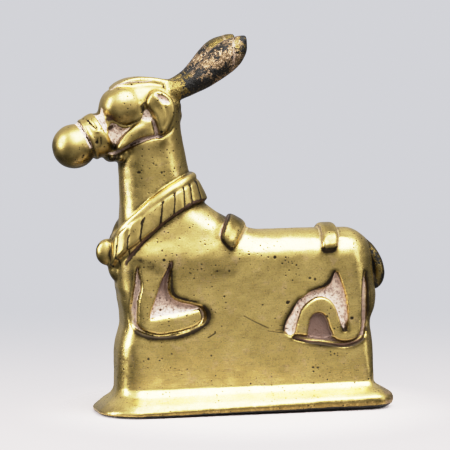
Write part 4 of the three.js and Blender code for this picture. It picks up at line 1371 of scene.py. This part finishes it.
def brassMaterial():
    brass.use_nodes = True
    tree = brass.node_tree
    tree.nodes.clear()

    def noise(vector, scale, detail=3.0, roughness=0.55):
        return addNode(tree, "ShaderNodeTexNoise", {
            "Vector": vector, "Scale": scale, "Detail": detail, "Roughness": roughness,
        }).outputs[0]

    def ramp(value, low, high):
        sockets = {"Value": value, "From Min": low, "From Max": high}
        return addNode(tree, "ShaderNodeMapRange", sockets, interpolation_type="SMOOTHSTEP").outputs[0]

    def maths(operation, a, b):
        return mathNode(tree, operation, a, b)

    def centred(value, amount):  # noise about zero
        return maths("MULTIPLY", maths("SUBTRACT", value, 0.5), amount)

    def colour(factor, a, b):
        sockets = {0: factor, 6: a, 7: b}
        return addNode(tree, "ShaderNodeMix", sockets, data_type="RGBA", clamp_factor=True).outputs[2]

    def number(factor, a, b):
        return addNode(tree, "ShaderNodeMix", {0: factor, 2: a, 3: b}, data_type="FLOAT").outputs[0]

    def attribute(name):
        return addNode(tree, "ShaderNodeAttribute", attribute_name=name).outputs["Fac"]

    def pinholes(scale, radius, crowd):  # few cells of a Voronoi pattern hold one
        cells = addNode(tree, "ShaderNodeTexVoronoi", {"Vector": place, "Scale": scale, "Randomness": 1.0})
        pick = addNode(tree, "ShaderNodeSeparateColor", {0: cells.outputs["Color"]}).outputs[0]
        size = maths("MULTIPLY", maths("MULTIPLY", pick, crowd), radius * scale * 1.5)
        return ramp(maths("SUBTRACT", size, cells.outputs["Distance"]), -0.04 * scale, 0.05 * scale)

    def scaled(vector, scale):
        return addNode(tree, "ShaderNodeMapping", {"Vector": vector, "Scale": scale}).outputs[0]

    coordinates = addNode(tree, "ShaderNodeTexCoord").outputs["Object"]
    place = scaled(coordinates, (1000, 1000, 1000))
    brushed = scaled(coordinates, (150, 900, 2800))
    ofPlace = addNode(tree, "ShaderNodeSeparateXYZ", {0: place}).outputs
    onSide = addNode(tree, "ShaderNodeCombineXYZ", {0: ofPlace[0], 2: ofPlace[2]}).outputs[0]

    cloud = noise(place, 0.16, 4)
    mottle = noise(place, 0.9, 4, 0.65)
    grain = noise(place, 3.2, 3, 0.6)
    scratch = noise(brushed, 1.0, 3, 0.6)

    crowd = ramp(noise(place, 0.11, 2), 0.34, 0.58)
    pinhole = maths("MAXIMUM", pinholes(1.4, finish["pinhole"], crowd), pinholes(0.4, finish["pit"], crowd))
    markGroup, marked = markTree(), None
    for startX, startZ, endX, endZ, half in marks:
        mask = addNode(tree, "ShaderNodeGroup", {
            "Place": onSide, "Start": (startX, 0, startZ), "End": (endX, 0, endZ), "Half width": half,
        }, node_tree=markGroup)
        marked = maths("MAXIMUM", marked, mask.outputs[0]) if marked else mask.outputs[0]
    marked = maths("MULTIPLY", marked, maths("LESS_THAN", ofPlace[1], -2.0))
    pinhole = maths("MAXIMUM", pinhole, marked)

    # Grime and pinholes, with painted shadow under the legs and under the garland's border
    grimeShadowEdge = maths("ADD", attribute("grimeAndShadow"), maths("ADD", centred(mottle, 0.5), centred(grain, 0.5)))
    grimeShadowMask = maths("MAXIMUM", ramp(grimeShadowEdge, 0.28, 0.66), pinhole)
    shadeEdge = maths("MULTIPLY", attribute("shade"), maths("ADD", centred(mottle, 1.4), 1.0))
    shadeMask = maths("MULTIPLY", ramp(shadeEdge, 0.0, 0.95), 0.92)
    # Pink residue, and the painted highlight near a horn's tip
    residueHighlightEdge = maths("ADD", attribute("residueAndHighlight"), centred(grain, 0.5))
    residueHighlightMask = ramp(residueHighlightEdge, 0.2, 0.5)
    blotches = maths("ADD", centred(noise(place, 0.5, 3, 0.6), 1.5), centred(noise(place, 1.7, 4, 0.65), 1.3))
    # Soot on the horns and tail, and painted shadow on the foot under the rim
    sootAndShadowEdge = maths("ADD", attribute("sootAndShadow"), blotches)
    sootAndShadowMask = ramp(sootAndShadowEdge, 0.48, 0.62)
    tanMask = ramp(maths("ADD", attribute("tan"), centred(noise(place, 1.2, 4, 0.6), 1.4)), 0.35, 0.6)
    verdigrisMask = ramp(maths("ADD", attribute("verdigris"), centred(mottle, 1.0)), 0.5, 0.9)

    tone = colour(ramp(cloud, 0.32, 0.68), finish["olive"], finish["yellow"])
    blush = ramp(noise(place, 0.35, 3, 0.6), 0.54, 0.7)
    tone = colour(maths("MULTIPLY", blush, 0.55), tone, finish["blush"])
    tone = colour(maths("MULTIPLY", ramp(mottle, 0.46, 0.68), 0.6), tone, finish["olive"])
    tone = colour(maths("MULTIPLY", ramp(grain, 0.5, 0.7), 0.6), tone, finish["speck"])
    tone = colour(maths("MULTIPLY", ramp(scratch, 0.54, 0.72), 0.35), tone, finish["speck"])
    unpolished = maths("SUBTRACT", 1.0, attribute("polish"))
    dulled = maths("MULTIPLY", unpolished, maths("ADD", 0.72, centred(mottle, 1.8)))
    tone = colour(dulled, tone, finish["dull"])
    tone = colour(maths("MULTIPLY", attribute("sharp"), 0.4), tone, finish["yellow"])
    tone = colour(maths("MULTIPLY", verdigrisMask, 0.7), tone, finish["verdigris"])
    tone = colour(shadeMask, tone, finish["shade"])
    flakes = ramp(noise(place, 2.3, 3, 0.7), 0.5, 0.62)
    scale = colour(flakes, finish["tan"], finish["copper"])
    tone = colour(maths("MULTIPLY", tanMask, 0.85), tone, scale)
    # Residue colour, pink to red; pink also paints the highlight near a horn's tip
    stainAndHighlight = colour(attribute("redness"), finish["pink"], finish["red"])
    stainAndHighlight = colour(maths("MULTIPLY", ramp(noise(place, 1.9, 4, 0.7), 0.46, 0.62), 0.75), stainAndHighlight, finish["red"])
    tone = colour(residueHighlightMask, tone, stainAndHighlight)
    # Dark dirt colour, also used for the painted shadow
    dirtAndShadow = colour(attribute("redness"), finish["grimeAndShadow"], finish["red"])
    tone = colour(grimeShadowMask, tone, dirtAndShadow)
    tone = colour(sootAndShadowMask, tone, finish["sootAndShadow"])

    # Residue, verdigris and the painted highlight are not metal
    powderAndHighlight = maths("MAXIMUM", residueHighlightMask, maths("MULTIPLY", verdigrisMask, 0.8))
    dull = maths("MAXIMUM", powderAndHighlight, maths("MAXIMUM", grimeShadowMask, sootAndShadowMask))
    metal = number(powderAndHighlight, 1.0, 0.15)
    metal = maths("SUBTRACT", metal, maths("MULTIPLY", tanMask, 0.2))
    metal = number(grimeShadowMask, metal, 0.95)
    metal = number(sootAndShadowMask, metal, 0.9)
    gloss = number(attribute("polish"), finish["dullRoughness"], finish["roughness"])
    gloss = maths("ADD", centred(scratch, 0.16), gloss)
    gloss = maths("ADD", gloss, maths("MULTIPLY", ramp(mottle, 0.4, 0.8), 0.08))
    gloss = number(maths("MAXIMUM", dull, maths("MULTIPLY", tanMask, 0.3)), gloss, 0.5)

    height = maths("ADD", centred(scratch, 0.004), maths("MULTIPLY", grain, 0.004))
    height = maths("ADD", height, maths("MULTIPLY", mottle, 0.01))
    rough = maths("MULTIPLY", noise(place, 2.0, 4, 0.65), attribute("stipple"))
    height = maths("ADD", height, maths("MULTIPLY", rough, 0.22))
    height = maths("SUBTRACT", height, maths("MULTIPLY", maths("MAXIMUM", pinhole, sootAndShadowMask), 0.02))
    bump = addNode(tree, "ShaderNodeBump", {"Strength": 1.0, "Distance": mm, "Height": height})

    shader = addNode(tree, "ShaderNodeBsdfPrincipled", {
        "Base Color": tone, "Metallic": metal, "Roughness": gloss, "Normal": bump.outputs[0],
    })
    tree.links.new(shader.outputs[0], addNode(tree, "ShaderNodeOutputMaterial").inputs[0])


brassMaterial()
finished.materials.clear()
finished.materials.append(brass)
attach(bull, "root")
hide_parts("nandi_bull")
print("brass laid on")


# Studio: a pale floor that fades into a pale backdrop, softboxes above and at both sides

studio = {
    "target": (-3.57, 0.0, 36.5),  # millimetres
    "distance": 550.0,
    "azimuth": -15.0,
    "elevation": 5.0,
    "frameWidth": 88.65,  # of the picture, at the target
    "backdrop": (0.72, 0.73, 0.80, 1),
    "foreground": (1.6, 1.42, 1.42, 1),
    "floor": (0.56, 0.50, 0.49, 1),
    "floorRadius": 49.0,
    "frontLight": 0.63,
    "backLight": 0.65,  # share of the front light that comes from behind
    "sideLight": 0.13,
    "topLight": 1.1,
    "topLightBehind": 0.35,
    "softboxes": {  # place, size, brightness and what it points at, in metres
        "overhead": ((0.09, -0.21, 0.40), (0.48, 0.40), 12.5, (0, 0, 0.03)),
        "left": ((-0.52, 0.0, 0.24), (0.17, 0.46), 18.0, (0, 0, 0.06)),
        "right": ((0.47, -0.30, 0.14), (0.14, 0.34), 2.6, (0, 0, 0.03)),
    },
    # How bright places come out in the picture: light falls off in the highlights as on film
    "film": [(0, 0), (0.2, 0.2), (0.4, 0.4), (0.6, 0.57), (0.85, 0.70), (1.2, 0.79), (1.6, 0.85), (2.2, 0.90),
             (3.5, 0.955), (5, 0.98), (8, 1)],
}


def pointAt(thing, target):
    direction = Vector(target) - thing.location
    thing.rotation_euler = direction.to_track_quat("-Z", "Y").to_euler()


def addCamera():
    turn, lift = math.radians(studio["azimuth"]), math.radians(studio["elevation"])
    toward = Vector((math.sin(turn) * math.cos(lift), -math.cos(turn) * math.cos(lift), math.sin(lift)))
    data = bpy.data.cameras.new("camera")
    data.sensor_width = 36
    data.lens = 36 * studio["distance"] / studio["frameWidth"]
    data.clip_start = 0.01
    data.clip_end = 20
    camera = bpy.data.objects.new("camera", data)
    bpy.context.collection.objects.link(camera)
    target = Vector(studio["target"]) * mm
    camera.location = target + toward * studio["distance"] * mm
    pointAt(camera, target)
    bpy.context.scene.camera = camera


def addFloor():
    radius = studio["floorRadius"] * mm
    turn = np.linspace(0, 2 * math.pi, 96, endpoint=False)
    mesh = bpy.data.meshes.new("floor")
    mesh.from_pydata([(radius * math.cos(a), radius * math.sin(a), 0) for a in turn], [], [list(range(96))])
    floor = bpy.data.objects.new("floor", mesh)
    bpy.context.collection.objects.link(floor)
    material = bpy.data.materials.new("floor")
    material.use_nodes = True
    tree = material.node_tree
    tree.nodes.clear()
    coordinates = addNode(tree, "ShaderNodeTexCoord").outputs["Object"]
    far = vectorNode(tree, "LENGTH", {0: coordinates}, "Value")
    fade = addNode(tree, "ShaderNodeMapRange", {
        "Value": far, "From Min": 0.02, "From Max": radius * 0.97,
    }, interpolation_type="SMOOTHSTEP").outputs[0]
    paper = addNode(tree, "ShaderNodeBsdfDiffuse", {"Color": studio["floor"]})
    clear = addNode(tree, "ShaderNodeBsdfTransparent")
    blend = addNode(tree, "ShaderNodeMixShader", {0: fade, 1: paper.outputs[0], 2: clear.outputs[0]})
    tree.links.new(blend.outputs[0], addNode(tree, "ShaderNodeOutputMaterial").inputs[0])
    mesh.materials.append(material)


def addSoftbox(name, location, size, radiance, target):
    data = bpy.data.lights.new(name, "AREA")
    data.shape = "RECTANGLE"
    data.size, data.size_y = size
    data.energy = radiance * math.pi * size[0] * size[1]
    light = bpy.data.objects.new(name, data)
    bpy.context.collection.objects.link(light)
    light.location = location
    pointAt(light, target)


def addWorld():
    world = bpy.data.worlds.new("studio")
    bpy.context.scene.world = world
    world.use_nodes = True
    tree = world.node_tree
    tree.nodes.clear()
    direction = addNode(tree, "ShaderNodeTexCoord").outputs["Generated"]
    parts = addNode(tree, "ShaderNodeSeparateXYZ", {0: direction})

    def ranged(value, low, high, first, last):
        return addNode(tree, "ShaderNodeMapRange", {
            "Value": value, "From Min": low, "From Max": high, "To Min": first, "To Max": last,
        }, interpolation_type="SMOOTHSTEP").outputs[0]

    sideways = mathNode(tree, "ABSOLUTE", parts.outputs[0])
    level = ranged(sideways, 0.2, 0.85, studio["frontLight"], studio["sideLight"])
    level = mathNode(tree, "MULTIPLY", level, ranged(parts.outputs[1], -0.1, 0.5, 1.0, studio["backLight"]))
    level = mathNode(tree, "MULTIPLY", level, ranged(parts.outputs[2], -0.35, 0.05, 0.55, 1.0))
    lift = ranged(parts.outputs[2], -0.05, 0.75, 0.0, 1.0)
    top = ranged(parts.outputs[1], -0.3, 0.3, studio["topLight"], studio["topLightBehind"])
    strength = mathNode(tree, "ADD", level, mathNode(tree, "MULTIPLY", lift, top))
    room = addNode(tree, "ShaderNodeBackground", {"Color": (1, 1, 1, 1), "Strength": strength})
    paper = addNode(tree, "ShaderNodeMix", {
        0: ranged(parts.outputs[2], -0.176, -0.115, 1.0, 0.0), 6: studio["backdrop"], 7: studio["foreground"],
    }, data_type="RGBA")
    backdrop = addNode(tree, "ShaderNodeBackground", {"Color": paper.outputs[2], "Strength": 1.0})
    seen = addNode(tree, "ShaderNodeLightPath").outputs["Is Camera Ray"]
    both = addNode(tree, "ShaderNodeMixShader", {0: seen, 1: room.outputs[0], 2: backdrop.outputs[0]})
    tree.links.new(both.outputs[0], addNode(tree, "ShaderNodeOutputWorld").inputs[0])


def setFilm():
    view = bpy.context.scene.view_settings
    view.view_transform = "Standard"
    view.use_curve_mapping = True
    mapping = view.curve_mapping
    brightest = studio["film"][-1][0]
    mapping.white_level = [brightest] * 3
    points = mapping.curves[3].points
    for place, (given, shown) in enumerate(studio["film"]):
        spot = (given / brightest, shown)
        if place in (0, len(studio["film"]) - 1):
            points[0 if place == 0 else len(points) - 1].location = spot
        else:
            points.new(*spot)
    mapping.update()


addCamera()
addFloor()
addWorld()
for name, softbox in studio["softboxes"].items():
    addSoftbox(name, *softbox)
setFilm()
print("studio set")
